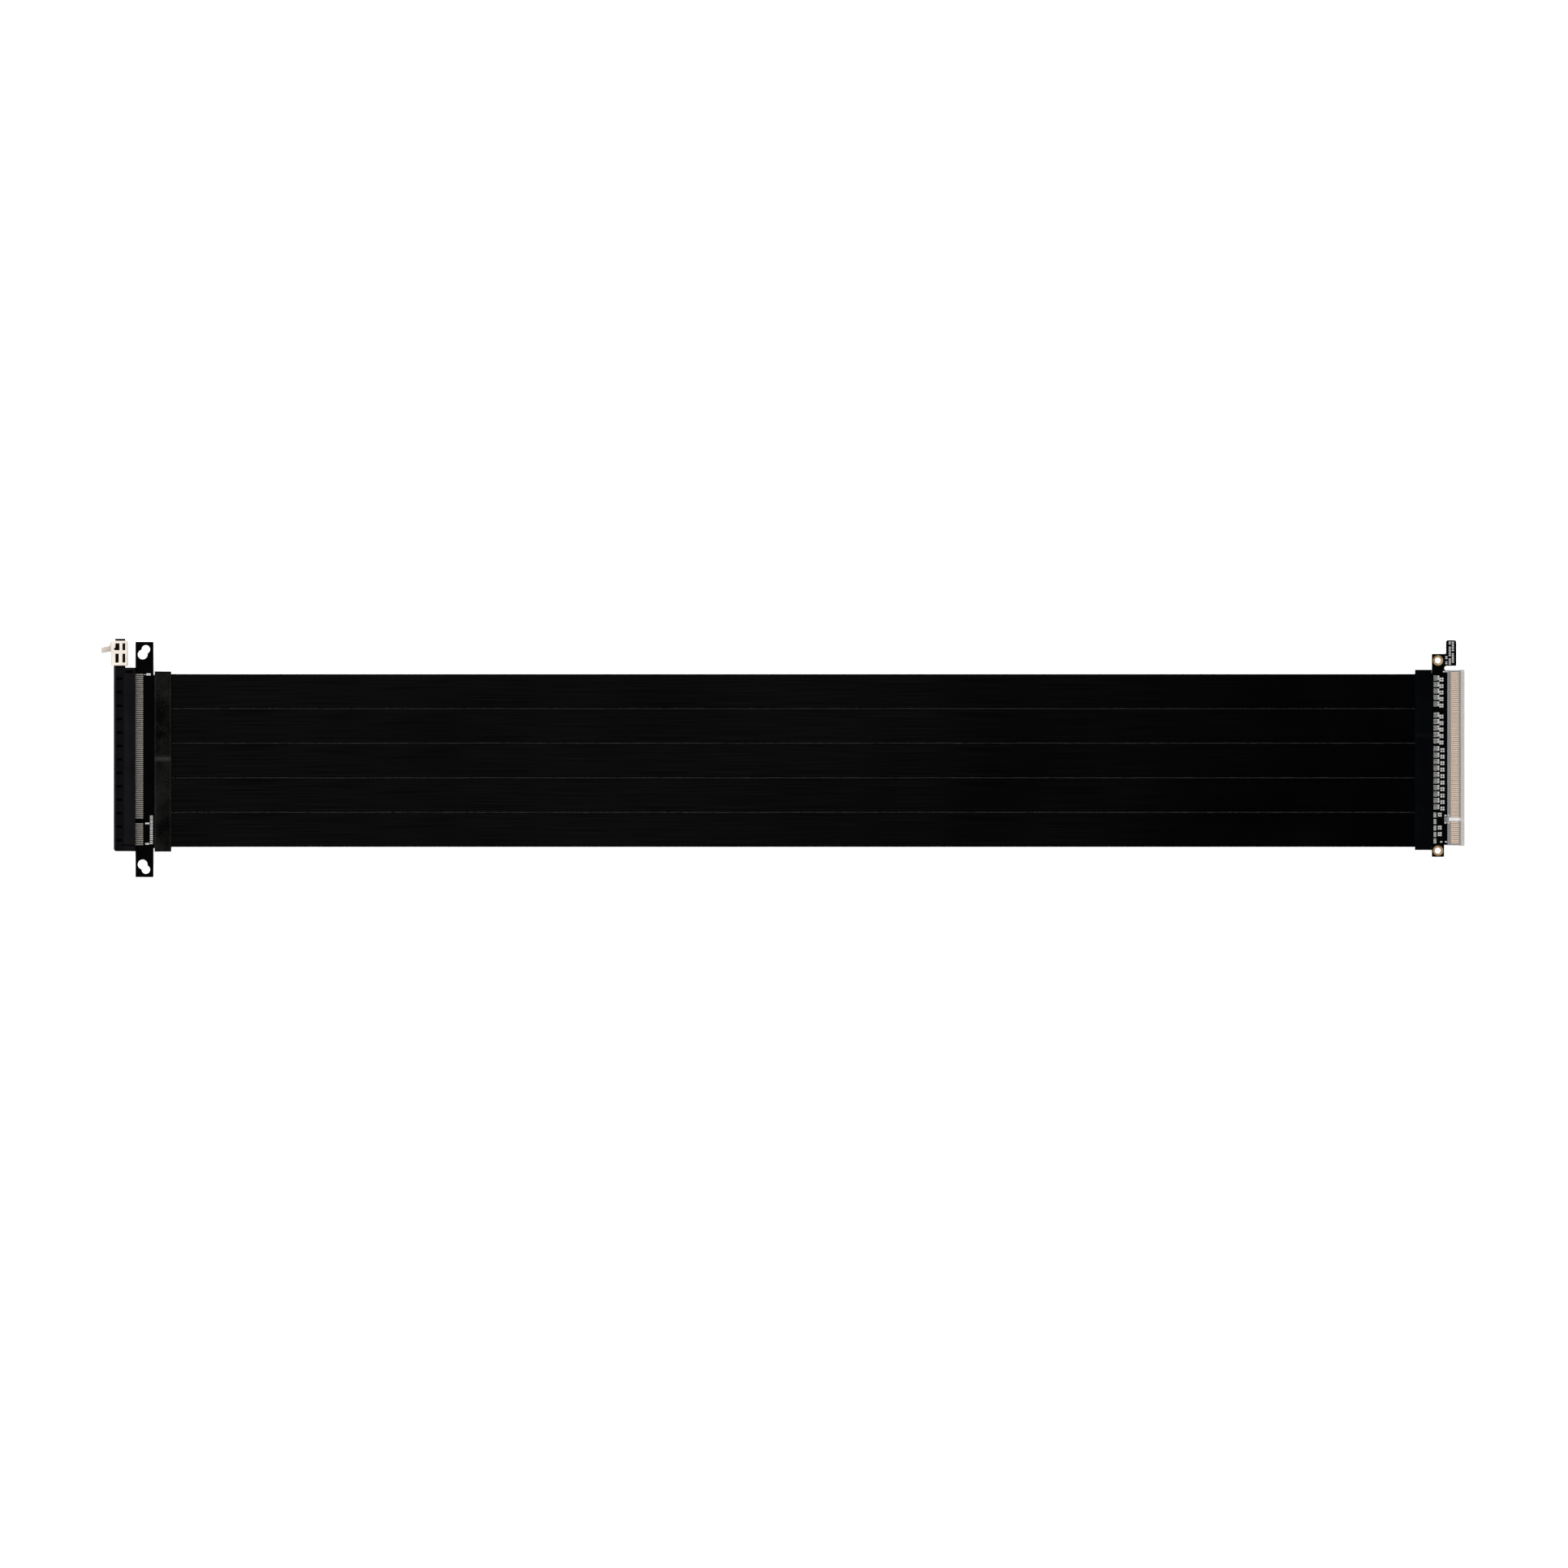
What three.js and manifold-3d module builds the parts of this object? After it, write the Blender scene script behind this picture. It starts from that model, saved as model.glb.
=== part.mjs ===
// A GPU riser cable: a 16-lane slot connector on a small board, five flat shielded ribbons
// side by side, and a card-edge plug board under a clear push-on cover.
// Millimetres. +X runs along the cable from the slot to the plug, +Y across it, +Z up.

import * as THREE from "three";
import { mergeVertices } from "three/addons/utils/BufferGeometryUtils.js";
import Module from "manifold-3d";

// The contact row, which the slot and the plug share.
const contacts = {
  pitch: 1.0,
  count: 82,
  beforeKey: 11,
  keySpan: 3.0, // centre of the last contact before the key to the centre of the first after it
};

// The card edge that fits the slot, which is also the plug's own edge.
const card = {
  thickness: 1.6,
  endMargin: 1.1, // centre of the end contact to the end of the edge
  keyNotch: 1.9,
  hookNotch: 2.4,
  notchDepth: 7.9,
};

const slotHousing = {
  depth: 10.55, // mouth to board edge
  endWall: 2.1, // past each end of the slot
  thickness: 7.6,
  frontThickness: 7.0,
  frontDepth: 5.3,
  mouthChamfer: 0.9,
  mouthChamferRise: 0.45,
  cornerCut: 0.8,
  slotWidth: 1.8,
  slotDepth: 6.9,
  slotEndPlay: 0.15,
  leadIn: 0.8,
  leadInWidth: 2.8,
  keyWeb: 1.6,
};

// Shallow cored notches along both long faces of the housing.
const coreNotch = {
  count: 13,
  pitch: 6.565,
  start: 1.45,
  length: 2.8,
  width: 1.2,
  depth: 0.6,
};

const endPocket = { start: 5.7, length: 3.8, width: 1.2, depth: 0.35, inset: 1.4 };
const endGroove = { start: 3.8, length: 6.3, width: 0.5, depth: 0.35, inset: 2.7 };

// One spring contact of the slot and the chamber that it moves in.
const spring = {
  width: 0.42,
  thickness: 0.3,
  crown: 2.6, // distance of the crown from the mouth
  crownHeight: 0.62, // height of the crown above the slot's middle plane
  tip: 1.2,
  tipHeight: 1.5,
  rootHeight: 1.65,
  rootGrip: 0.3,
};
const chamber = { width: 0.62, outer: 2.3 };
const tail = { width: 0.6, thickness: 0.25, length: 3.95, grip: 0.3 };

// The arm that carries the latch: two cheeks with a channel for the card's hook between them.
const arm = {
  depth: 5.5,
  reach: 14.15, // past the end of the housing
  thickness: 4.5,
  channelWidth: 2.0,
  channelDepth: 5.0,
  tipBar: 1.1,
  tipInset: 0.65,
};

const latch = {
  thickness: 7.4,
  cheek: 1.2,
  front: -1.4, // before the mouth
  back: 6.65,
  inner: 1.05, // gap to the housing's end
  length: 12.1,
  cornerCut: 0.3,
  pivotX: 3.45,
  pivotInset: 0.8, // from the outer end of the latch
  bossRadius: 0.6,
  bossPlay: 0.25,
  bossEnd: 1.2, // height above the middle plane where the boss stops, clear of the card's hook
  noseLength: 2.0,
  noseBack: -0.3,
};
// The openings of a latch cheek: start and end along X, and along Y from the latch's inner end.
const latchWindow = {
  front: [0.83, 2.5],
  rear: [4.3, 5.7],
  inner: [1.4, 5.8],
  outer: [7.45, 10.9],
  widen: 0.4, // how much wider the front one is in the outer row
};
const windowBite = { x: 0.95, y: 1.5 }; // the small bite beside one window's lower corner
const lever = {
  thickness: 2.3, // on the lower cheek only, so that the card's hook can pass above it
  tipX: -6.35,
  rootX: -2.4,
  tipLow: 6.1,
  tipHigh: 8.8,
  rootLow: 6.85,
  rootHigh: 9.75,
  shoulderX: -2.1,
  shoulderHigh: 11.2,
};

const slotBoard = {
  length: 115.0,
  earDepth: 8.8,
  earCorner: 0.6,
  rear: 24.5, // from the mouth to the edge under the wrap
  holeFromEnd: 6.2,
  holeFromEdge: 3.5,
  holeRadius: 2.35,
  sideHoleRadius: 2.05,
  sideHoleShift: { along: 1.55, out: 2.5 },
};

const plugBoard = {
  rearTongue: 18.6, // from the card edge to the edge under the wrap
  tabRear: 13.9,
  tabFront: 7.95,
  upperTab: 50.8,
  lowerTab: -48.4,
  tabCorner: 0.5,
  hookFront: 2.0,
  hookRear: 6.95,
  hookReach: 57.5,
  hookCorner: 1.0,
  hookFillet: 0.6,
  edgeBevel: 0.7,
  edgeBevelRise: 0.3,
  holeFromEdge: 10.95,
  upperHole: 47.6,
  lowerHole: -45.35,
};
const finger = { width: 0.7, thickness: 0.05, rear: 4.6 };
const platedHole = { bore: 1.7, wall: 0.15, ring: 2.5, ringThickness: 0.06, play: 0.1 };

// The clear cover that slides over the fingers.
const cover = {
  wall: 0.7,
  endWall: 0.35,
  play: 0.15, // to the fingers' faces
  sidePlay: 0.2,
  edgeGap: 0.3,
  nose: 1.8,
  skirt: 6.4, // how far it reaches back over the board
  noseRadius: 1.1,
  keyWeb: 1.4,
};

// The cloth tape wound over each cable end, and the resin under it that holds the wires.
const wrap = { wall: 0.35, play: 0.1, mouthPlay: 0.1, overhang: 1.9, taper: 1.8 };
const slotWrap = { start: 19.85, length: 8.25, thickness: 3.9, shift: -1.0 };
const plugWrap = { start: 13.9, length: 8.35, thickness: 3.0, shift: -1.0 };
const potting = { fromWrap: 0.4, cover: 1.7, overhang: 0.45 };
const boardTongue = { overhang: 0.15 };

const ribbon = { count: 5, width: 16.7, thickness: 1.1, gap: 0.2, shift: -0.5 };
const ribbonSeat = 0.3; // gap between a ribbon's end and the resin

// The ribbons' route, as distance along the cable and height above the floor: down from the slot,
// along the floor, and up to the plug, where the distance is counted back from the end.
const cableLength = 611;
const cableLie = 0.62;
const floorSpacing = 60;
const slotDescent = [
  [0, 3.8],
  [5, 3.8],
  [9, 3.62],
  [14, 3.1],
  [20, 2.25],
  [26, 1.45],
  [32, 0.92],
  [39, 0.68],
  [50, cableLie],
  [90, cableLie],
];
const plugAscent = [
  [51, cableLie],
  [31, 0.66],
  [21, 0.85],
  [14, 1.25],
  [8, 1.58],
  [4, 1.7],
  [0, 1.7],
];

const arcSegments = 5;
const roundSegments = 16;

// Places that follow from the sizes above.
const rowLength = (contacts.count - 2) * contacts.pitch + contacts.keySpan;
const cardLength = rowLength + 2 * card.endMargin;
const keyY = -rowLength / 2 + (contacts.beforeKey - 1) * contacts.pitch + contacts.keySpan / 2;
const contactY = Array.from(
  { length: contacts.count },
  (_, i) =>
    -rowLength / 2 +
    i * contacts.pitch +
    (i < contacts.beforeKey ? 0 : contacts.keySpan - contacts.pitch),
);
const boardTop = card.thickness / 2;
const slotReach = cardLength / 2 + slotHousing.slotEndPlay;
const housingEnd = slotReach + slotHousing.endWall;
const latchInner = housingEnd + latch.inner;
const latchOuter = latchInner + latch.length;
const pivot = { x: latch.pivotX, y: latchOuter - latch.pivotInset };
const ribbonsWidth = ribbon.count * ribbon.width + (ribbon.count - 1) * ribbon.gap;
const tongueHalf = ribbonsWidth / 2 + boardTongue.overhang;
const floorStart = slotDescent[slotDescent.length - 1][0];
const floorEnd = cableLength - plugAscent[0][0];
const floorCount = Math.max(0, Math.ceil((floorEnd - floorStart) / floorSpacing) - 1);
const cableRoute = [
  ...slotDescent,
  ...Array.from({ length: floorCount }, (_, i) => [floorStart + (i + 1) * floorSpacing, cableLie]),
  ...plugAscent.map(([back, height]) => [cableLength - back, height]),
];
const plugHeight = cableRoute[cableRoute.length - 1][1];

const colours = {
  housing: 0x131312,
  board: 0x0c0e0f,
  latch: 0xf3e8d8,
  ribbon: 0x0b0b0c,
  tape: 0x161616,
  resin: 0x0a0a0a,
  plating: 0xc9a25a,
  cover: 0xdfe3e2,
};
const materials = {
  housing: new THREE.MeshStandardMaterial({ color: colours.housing, roughness: 0.55 }),
  board: new THREE.MeshStandardMaterial({ color: colours.board, roughness: 0.4 }),
  latch: new THREE.MeshStandardMaterial({ color: colours.latch, roughness: 0.5 }),
  ribbon: new THREE.MeshStandardMaterial({ color: colours.ribbon, roughness: 0.45 }),
  tape: new THREE.MeshStandardMaterial({ color: colours.tape, roughness: 0.95 }),
  resin: new THREE.MeshStandardMaterial({ color: colours.resin, roughness: 0.6 }),
  plating: new THREE.MeshStandardMaterial({
    color: colours.plating,
    roughness: 0.35,
    metalness: 1,
  }),
  cover: new THREE.MeshStandardMaterial({
    color: colours.cover,
    roughness: 0.2,
    transparent: true,
    opacity: 0.4,
  }),
};

const wasm = await Module();
wasm.setup();
const { Manifold, Mesh } = wasm;

function solid(geometry) {
  const bare = geometry.clone();
  bare.deleteAttribute("normal");
  bare.deleteAttribute("uv");
  const merged = mergeVertices(bare, 1e-4);
  return new Manifold(
    new Mesh({
      numProp: 3,
      vertProperties: merged.attributes.position.array,
      triVerts: new Uint32Array(merged.index.array),
    }),
  );
}

function geometryOf(body) {
  const mesh = body.getMesh();
  const geometry = new THREE.BufferGeometry();
  geometry.setAttribute("position", new THREE.BufferAttribute(mesh.vertProperties, 3));
  geometry.setIndex(new THREE.BufferAttribute(mesh.triVerts, 1));
  geometry.computeVertexNormals();
  return geometry;
}

const join = (bodies) => Manifold.union(bodies);
const cut = (body, tools) => body.subtract(join(tools));

function named(name, geometry, material) {
  const mesh = new THREE.Mesh(geometry, material);
  mesh.name = name;
  return mesh;
}

function polygon(points) {
  return new THREE.Shape(points.map(([u, v]) => new THREE.Vector2(u, v)));
}

function rectangle(u0, u1, v0, v1) {
  return polygon([
    [u0, v0],
    [u1, v0],
    [u1, v1],
    [u0, v1],
  ]);
}

// A shape in the XY plane, raised from z0 to z1.
function raised(shape, z0, z1) {
  return new THREE.ExtrudeGeometry(shape, {
    depth: z1 - z0,
    bevelEnabled: false,
    curveSegments: arcSegments,
  }).translate(0, 0, z0);
}

// A section in the XZ plane, carried along Y from y0 to y1.
function carried(section, y0, y1) {
  return new THREE.ExtrudeGeometry(section, {
    depth: y1 - y0,
    bevelEnabled: false,
    curveSegments: arcSegments,
  })
    .rotateX(Math.PI / 2)
    .translate(0, y1, 0);
}

function pin(x, y, radius, z0, z1) {
  return new THREE.CylinderGeometry(radius, radius, z1 - z0, roundSegments)
    .rotateX(Math.PI / 2)
    .translate(x, y, (z0 + z1) / 2);
}

// The same XZ section above and below the middle plane, at one place along Y.
function pairAt(points, y, width) {
  const below = points.map(([x, z]) => [x, -z]);
  return [points, below].map((side) => solid(carried(polygon(side), y - width / 2, y + width / 2)));
}

// The moulded slot housing with its arm, chambers, springs and solder tails.
function makeSlotHousing() {
  const h = slotHousing;
  const front = h.frontThickness / 2;
  const rear = h.thickness / 2;
  const section = polygon([
    [0, -front + h.mouthChamferRise],
    [h.mouthChamfer, -front],
    [h.frontDepth, -front],
    [h.frontDepth, -rear],
    [h.depth, -rear],
    [h.depth, rear],
    [h.frontDepth, rear],
    [h.frontDepth, front],
    [h.mouthChamfer, front],
    [0, front - h.mouthChamferRise],
  ]);
  const plan = polygon([
    [h.cornerCut, -housingEnd],
    [h.depth, -housingEnd],
    [h.depth, housingEnd],
    [0, housingEnd],
    [0, -housingEnd + h.cornerCut],
  ]);
  const block = solid(carried(section, -housingEnd, housingEnd)).intersect(
    solid(raised(plan, -rear, rear)),
  );

  const armTip = housingEnd + arm.reach;
  const armPlan = polygon([
    [0, housingEnd - h.cornerCut],
    [arm.depth, housingEnd - h.cornerCut],
    [arm.depth, armTip],
    [arm.tipInset, armTip],
    [arm.tipInset, armTip - arm.tipBar],
    [0, armTip - 2 * arm.tipBar],
  ]);
  const armBody = solid(raised(armPlan, -arm.thickness / 2, arm.thickness / 2));

  const half = h.slotWidth / 2;
  const lead = h.leadInWidth / 2;
  const slotSection = polygon([
    [-h.leadIn, -lead],
    [0, -lead],
    [h.leadIn, -half],
    [h.slotDepth, -half],
    [h.slotDepth, half],
    [h.leadIn, half],
    [0, lead],
    [-h.leadIn, lead],
  ]);
  const openings = [
    solid(carried(slotSection, -slotReach, keyY - h.keyWeb / 2)),
    solid(carried(slotSection, keyY + h.keyWeb / 2, slotReach)),
    solid(
      raised(
        rectangle(-1, arm.channelDepth, housingEnd, armTip - arm.tipBar),
        -arm.channelWidth / 2,
        arm.channelWidth / 2,
      ),
    ),
    solid(
      pin(pivot.x, pivot.y, latch.bossRadius + latch.bossPlay, -arm.thickness, arm.thickness),
    ),
  ];

  const face = h.thickness / 2;
  const notchFloor = front - coreNotch.depth;
  for (let i = 0; i < coreNotch.count; i++) {
    const y = (i - (coreNotch.count - 1) / 2) * coreNotch.pitch;
    const notch = [
      [coreNotch.start, notchFloor],
      [coreNotch.start + coreNotch.length, notchFloor],
      [coreNotch.start + coreNotch.length, face],
      [coreNotch.start, face],
    ];
    openings.push(...pairAt(notch, y, coreNotch.width));
  }
  for (const [mark, side] of [
    [endPocket, 1],
    [endGroove, -1],
  ]) {
    const y = side * (housingEnd - mark.inset - mark.width / 2);
    const recess = [
      [mark.start, face - mark.depth],
      [mark.start + mark.length, face - mark.depth],
      [mark.start + mark.length, face + 1],
      [mark.start, face + 1],
    ];
    openings.push(...pairAt(recess, y, mark.width));
  }

  const chamberSection = [
    [-h.leadIn, 0],
    [h.slotDepth, 0],
    [h.slotDepth, chamber.outer],
    [-h.leadIn, chamber.outer],
  ];
  const springSection = [
    [h.slotDepth + spring.rootGrip, spring.rootHeight],
    [h.slotDepth + spring.rootGrip, spring.rootHeight + spring.thickness],
    [spring.crown, spring.crownHeight + spring.thickness],
    [spring.tip, spring.tipHeight],
    [spring.crown, spring.crownHeight],
  ];
  const tailSection = [
    [h.depth - tail.grip, boardTop],
    [h.depth + tail.length, boardTop],
    [h.depth + tail.length, boardTop + tail.thickness],
    [h.depth - tail.grip, boardTop + tail.thickness],
  ];
  const metal = [];
  for (const y of contactY) {
    openings.push(...pairAt(chamberSection, y, chamber.width));
    metal.push(...pairAt(springSection, y, spring.width), ...pairAt(tailSection, y, tail.width));
  }
  const moulding = cut(join([block, armBody]), openings);
  return named("slot_housing", geometryOf(join([moulding, ...metal])), materials.housing);
}

// Two windowed cheeks astride the arm, joined by the nose that holds the card's hook.
function makeLatch() {
  const half = latch.thickness / 2;
  const inside = half - latch.cheek;
  const c = latch.cornerCut;
  const cheekPlan = polygon([
    [latch.front + c, latchInner],
    [latch.back - c, latchInner],
    [latch.back, latchInner + c],
    [latch.back, latchOuter - c],
    [latch.back - c, latchOuter],
    [latch.front + c, latchOuter],
    [latch.front, latchOuter - c],
    [latch.front, latchInner + c],
  ]);
  const { front, rear, inner, outer, widen } = latchWindow;
  const widened = [front[0], front[1] + widen];
  const windows = [
    [front, inner],
    [rear, inner],
    [rear, outer],
  ].map(([[x0, x1], y]) => {
    const [y0, y1] = y.map((v) => latchInner + v);
    return solid(raised(rectangle(x0, x1, y0, y1), -latch.thickness, latch.thickness));
  });
  const [y0, y1] = outer.map((v) => latchInner + v);
  const bitten = polygon([
    [widened[0], y0],
    [widened[1], y0],
    [widened[1], y1],
    [widened[0], y1],
    [widened[0], y0 + windowBite.y],
    [widened[0] - windowBite.x, y0 + windowBite.y / 3],
  ]);
  windows.push(solid(raised(bitten, -latch.thickness, latch.thickness)));
  const noseFoot = latchOuter - latch.noseLength;
  const leverPlan = polygon([
    [latch.front + c, latchInner + lever.rootLow],
    [latch.front + c, latchInner + lever.shoulderHigh],
    [lever.shoulderX, latchInner + lever.shoulderHigh],
    [lever.shoulderX, latchInner + lever.rootHigh],
    [lever.tipX, latchInner + lever.tipHigh],
    [lever.tipX, latchInner + lever.tipLow],
    [lever.rootX, latchInner + lever.rootLow],
  ]);
  const leverTop = -half + lever.thickness;
  const boss = (z0, z1) => solid(pin(pivot.x, pivot.y, latch.bossRadius, z0, z1));
  const nosePlan = rectangle(latch.front, latch.noseBack, noseFoot, latchOuter - c);
  const between = rectangle(latch.front - 1, latch.back + 1, latchInner - 1, latchOuter + 1);
  const cheeks = cut(solid(raised(cheekPlan, -half, half)), [
    solid(raised(between, -inside, inside)),
    ...windows,
  ]);
  const body = join([
    cheeks,
    solid(raised(nosePlan, -inside, inside)),
    solid(raised(leverPlan, -half, leverTop)),
    boss(latch.bossEnd, inside + latch.cheek / 2),
    boss(-inside - latch.cheek / 2, -latch.bossEnd),
  ]);
  return named("retention_latch", geometryOf(body), materials.latch);
}

function makeSlotBoard() {
  const b = slotBoard;
  const front = slotHousing.depth;
  const earRear = front + b.earDepth;
  const end = b.length / 2;
  const r = b.earCorner;
  const plan = new THREE.Shape();
  plan.moveTo(front, -end);
  plan.lineTo(earRear - r, -end);
  plan.quadraticCurveTo(earRear, -end, earRear, -end + r);
  plan.lineTo(earRear, slotWrap.shift - tongueHalf);
  plan.lineTo(b.rear, slotWrap.shift - tongueHalf);
  plan.lineTo(b.rear, slotWrap.shift + tongueHalf);
  plan.lineTo(earRear, slotWrap.shift + tongueHalf);
  plan.lineTo(earRear, end - r);
  plan.quadraticCurveTo(earRear, end, earRear - r, end);
  plan.lineTo(front, end);
  const holes = [];
  for (const side of [-1, 1]) {
    const x = front + b.holeFromEdge;
    const y = side * (end - b.holeFromEnd);
    const { along, out } = b.sideHoleShift;
    holes.push(solid(pin(x, y, b.holeRadius, -card.thickness, card.thickness)));
    holes.push(
      solid(
        pin(x + along, y + side * out, b.sideHoleRadius, -card.thickness, card.thickness),
      ),
    );
  }
  const body = cut(solid(raised(plan, -boardTop, boardTop)), holes);
  return named("slot_board", geometryOf(body), materials.board);
}

function makePlugBoard() {
  const b = plugBoard;
  const edge = cardLength / 2;
  const notchRound = (low, high) => {
    const r = (high - low) / 2;
    return { r, y: (low + high) / 2, x: -card.notchDepth + r };
  };
  const key = notchRound(keyY - card.keyNotch / 2, keyY + card.keyNotch / 2);
  const hook = notchRound(edge, edge + card.hookNotch);
  const k = b.tabCorner;
  const plan = new THREE.Shape();
  plan.moveTo(-b.rearTongue, plugWrap.shift - tongueHalf);
  plan.lineTo(-b.tabRear, plugWrap.shift - tongueHalf);
  plan.lineTo(-b.tabRear, b.lowerTab);
  plan.lineTo(-b.tabFront - k, b.lowerTab);
  plan.quadraticCurveTo(-b.tabFront, b.lowerTab, -b.tabFront, b.lowerTab + k);
  plan.lineTo(-b.tabFront, -edge);
  plan.lineTo(0, -edge);
  plan.lineTo(0, key.y - key.r);
  plan.lineTo(key.x, key.y - key.r);
  plan.absarc(key.x, key.y, key.r, -Math.PI / 2, Math.PI / 2, true);
  plan.lineTo(0, key.y + key.r);
  plan.lineTo(0, edge);
  plan.lineTo(hook.x, edge);
  plan.absarc(hook.x, hook.y, hook.r, -Math.PI / 2, Math.PI / 2, true);
  plan.lineTo(-b.hookFront, edge + card.hookNotch);
  plan.lineTo(-b.hookFront, b.hookReach - b.hookCorner);
  plan.absarc(
    -b.hookFront - b.hookCorner,
    b.hookReach - b.hookCorner,
    b.hookCorner,
    0,
    Math.PI / 2,
    false,
  );
  plan.absarc(
    -b.hookRear + b.hookCorner,
    b.hookReach - b.hookCorner,
    b.hookCorner,
    Math.PI / 2,
    Math.PI,
    false,
  );
  plan.lineTo(-b.hookRear, b.upperTab + b.hookFillet);
  plan.quadraticCurveTo(-b.hookRear, b.upperTab, -b.hookRear - b.hookFillet, b.upperTab);
  plan.lineTo(-b.tabRear, b.upperTab);
  plan.lineTo(-b.tabRear, plugWrap.shift + tongueHalf);
  plan.lineTo(-b.rearTongue, plugWrap.shift + tongueHalf);

  const bevel = [
    [-b.edgeBevel, boardTop],
    [1, boardTop - b.edgeBevelRise * (1 + 1 / b.edgeBevel)],
    [1, boardTop + 1],
    [-b.edgeBevel, boardTop + 1],
  ];
  const holeRadius = platedHole.bore + platedHole.wall + platedHole.play;
  const tools = [
    ...pairAt(bevel, 0, cardLength),
    ...[b.upperHole, b.lowerHole].map((y) =>
      solid(pin(-b.holeFromEdge, y, holeRadius, -card.thickness, card.thickness)),
    ),
  ];
  const body = cut(solid(raised(plan, -boardTop, boardTop)), tools);

  const fingerSection = [
    [-finger.rear, boardTop - finger.thickness],
    [-b.edgeBevel, boardTop - finger.thickness],
    [-b.edgeBevel, boardTop + finger.thickness],
    [-finger.rear, boardTop + finger.thickness],
  ];
  const fingers = contactY.flatMap((y) => pairAt(fingerSection, y, finger.width));
  return named("plug_board", geometryOf(join([body, ...fingers])), materials.board);
}

function makePlatedHole(name, y) {
  const p = platedHole;
  const top = boardTop + p.ringThickness;
  const barrel = p.bore + p.wall;
  const profile = [
    [p.bore, -top],
    [p.ring, -top],
    [p.ring, -boardTop],
    [barrel, -boardTop],
    [barrel, boardTop],
    [p.ring, boardTop],
    [p.ring, top],
    [p.bore, top],
    [p.bore, -top],
  ].map(([r, z]) => new THREE.Vector2(r, z));
  const geometry = new THREE.LatheGeometry(profile, roundSegments).rotateX(Math.PI / 2);
  const mesh = named(name, geometryOf(solid(geometry)), materials.plating);
  mesh.position.set(-plugBoard.holeFromEdge, y, 0);
  return mesh;
}

function makeCover() {
  const inner = boardTop + finger.thickness + cover.play;
  const outer = inner + cover.wall;
  const halfInside = cardLength / 2 + cover.sidePlay;
  const r = cover.noseRadius;
  const nose = cover.nose + cover.edgeGap;
  const section = new THREE.Shape();
  section.moveTo(-cover.skirt, -outer);
  section.lineTo(nose - r, -outer);
  section.absarc(nose - r, -outer + r, r, -Math.PI / 2, 0, false);
  section.absarc(nose - r, outer - r, r, 0, Math.PI / 2, false);
  section.lineTo(-cover.skirt, outer);
  const halfOutside = halfInside + cover.endWall;
  const shell = solid(carried(section, -halfOutside, halfOutside));
  const pocket = rectangle(-cover.skirt - 1, cover.edgeGap, -inner, inner);
  const web = cover.keyWeb / 2;
  const body = cut(shell, [
    solid(carried(pocket, -halfInside, keyY - web)),
    solid(carried(pocket, keyY + web, halfInside)),
  ]);
  return named("finger_cover", geometryOf(body), materials.cover);
}

// A section that is the same above and below the middle plane, from the points of its upper half.
function mirroredSection(upper, side) {
  const lower = upper.map(([x, z]) => [x, -z]).reverse();
  return polygon([...upper, ...lower].map(([x, z]) => [side * x, z]));
}

// A band of tape: flat over the board, narrowing to the ribbons at the cable side.
function makeWrap(name, size, side) {
  const far = size.start + size.length;
  const bend = far - wrap.taper;
  const overBoard = size.thickness / 2;
  const overRibbons = ribbon.thickness / 2 + wrap.mouthPlay + wrap.wall;
  const outside = [
    [size.start, overBoard],
    [bend, overBoard],
    [far, overRibbons],
  ];
  const inside = outside.map(([x, z]) => [x, z - wrap.wall]);
  inside[0][0] -= 1;
  inside.push([far + 1, overRibbons - wrap.wall]);
  const low = size.shift - ribbonsWidth / 2 - wrap.overhang;
  const high = size.shift + ribbonsWidth / 2 + wrap.overhang;
  const band = solid(carried(mirroredSection(outside, side), low, high));
  const hollow = carried(mirroredSection(inside, side), low + wrap.wall, high - wrap.wall);
  return named(name, geometryOf(band.subtract(solid(hollow))), materials.tape);
}

// The resin is cast round the edge of the board, on both faces, where the wires are soldered.
function makePotting(name, size, boardRear, side) {
  const start = size.start + potting.fromWrap;
  const end = boardRear + potting.cover;
  const half = size.thickness / 2 - wrap.wall - wrap.play;
  const section = polygon(
    [
      [start, -half],
      [end, -half],
      [end, half],
      [start, half],
      [start, boardTop],
      [boardRear, boardTop],
      [boardRear, -boardTop],
      [start, -boardTop],
    ].map(([x, z]) => [side * x, z]),
  );
  const low = size.shift - ribbonsWidth / 2 - potting.overhang;
  const high = size.shift + ribbonsWidth / 2 + potting.overhang;
  return named(name, carried(section, low, high), materials.resin);
}

// A route with no sideways bend, so that a flat ribbon on it never twists. It is cut into steps
// at its own points, which lie closest where it bends.
class LevelRoute extends THREE.CatmullRomCurve3 {
  getSpacedPoints(divisions) {
    return this.getPoints(divisions);
  }

  computeFrenetFrames(segments) {
    const tangents = [];
    const normals = [];
    const binormals = [];
    const across = new THREE.Vector3(0, -1, 0);
    for (let i = 0; i <= segments; i++) {
      const tangent = this.getTangent(i / segments);
      tangents.push(tangent);
      binormals.push(across.clone());
      normals.push(new THREE.Vector3().crossVectors(across, tangent));
    }
    return { tangents, normals, binormals };
  }
}

function makeRibbon(index) {
  const half = ribbon.thickness / 2;
  const side = ribbon.width / 2;
  const section = rectangle(-half, half, -side, side);
  const route = new LevelRoute(cableRoute.map(([x, z]) => new THREE.Vector3(x, 0, z)));
  const geometry = new THREE.ExtrudeGeometry(section, {
    steps: cableRoute.length - 1,
    bevelEnabled: false,
    extrudePath: route,
  });
  const mesh = named("ribbon_" + (index + 1), geometry, materials.ribbon);
  const middle = (ribbon.count - 1) / 2;
  mesh.position.y = (middle - index) * (ribbon.width + ribbon.gap);
  return mesh;
}

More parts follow.
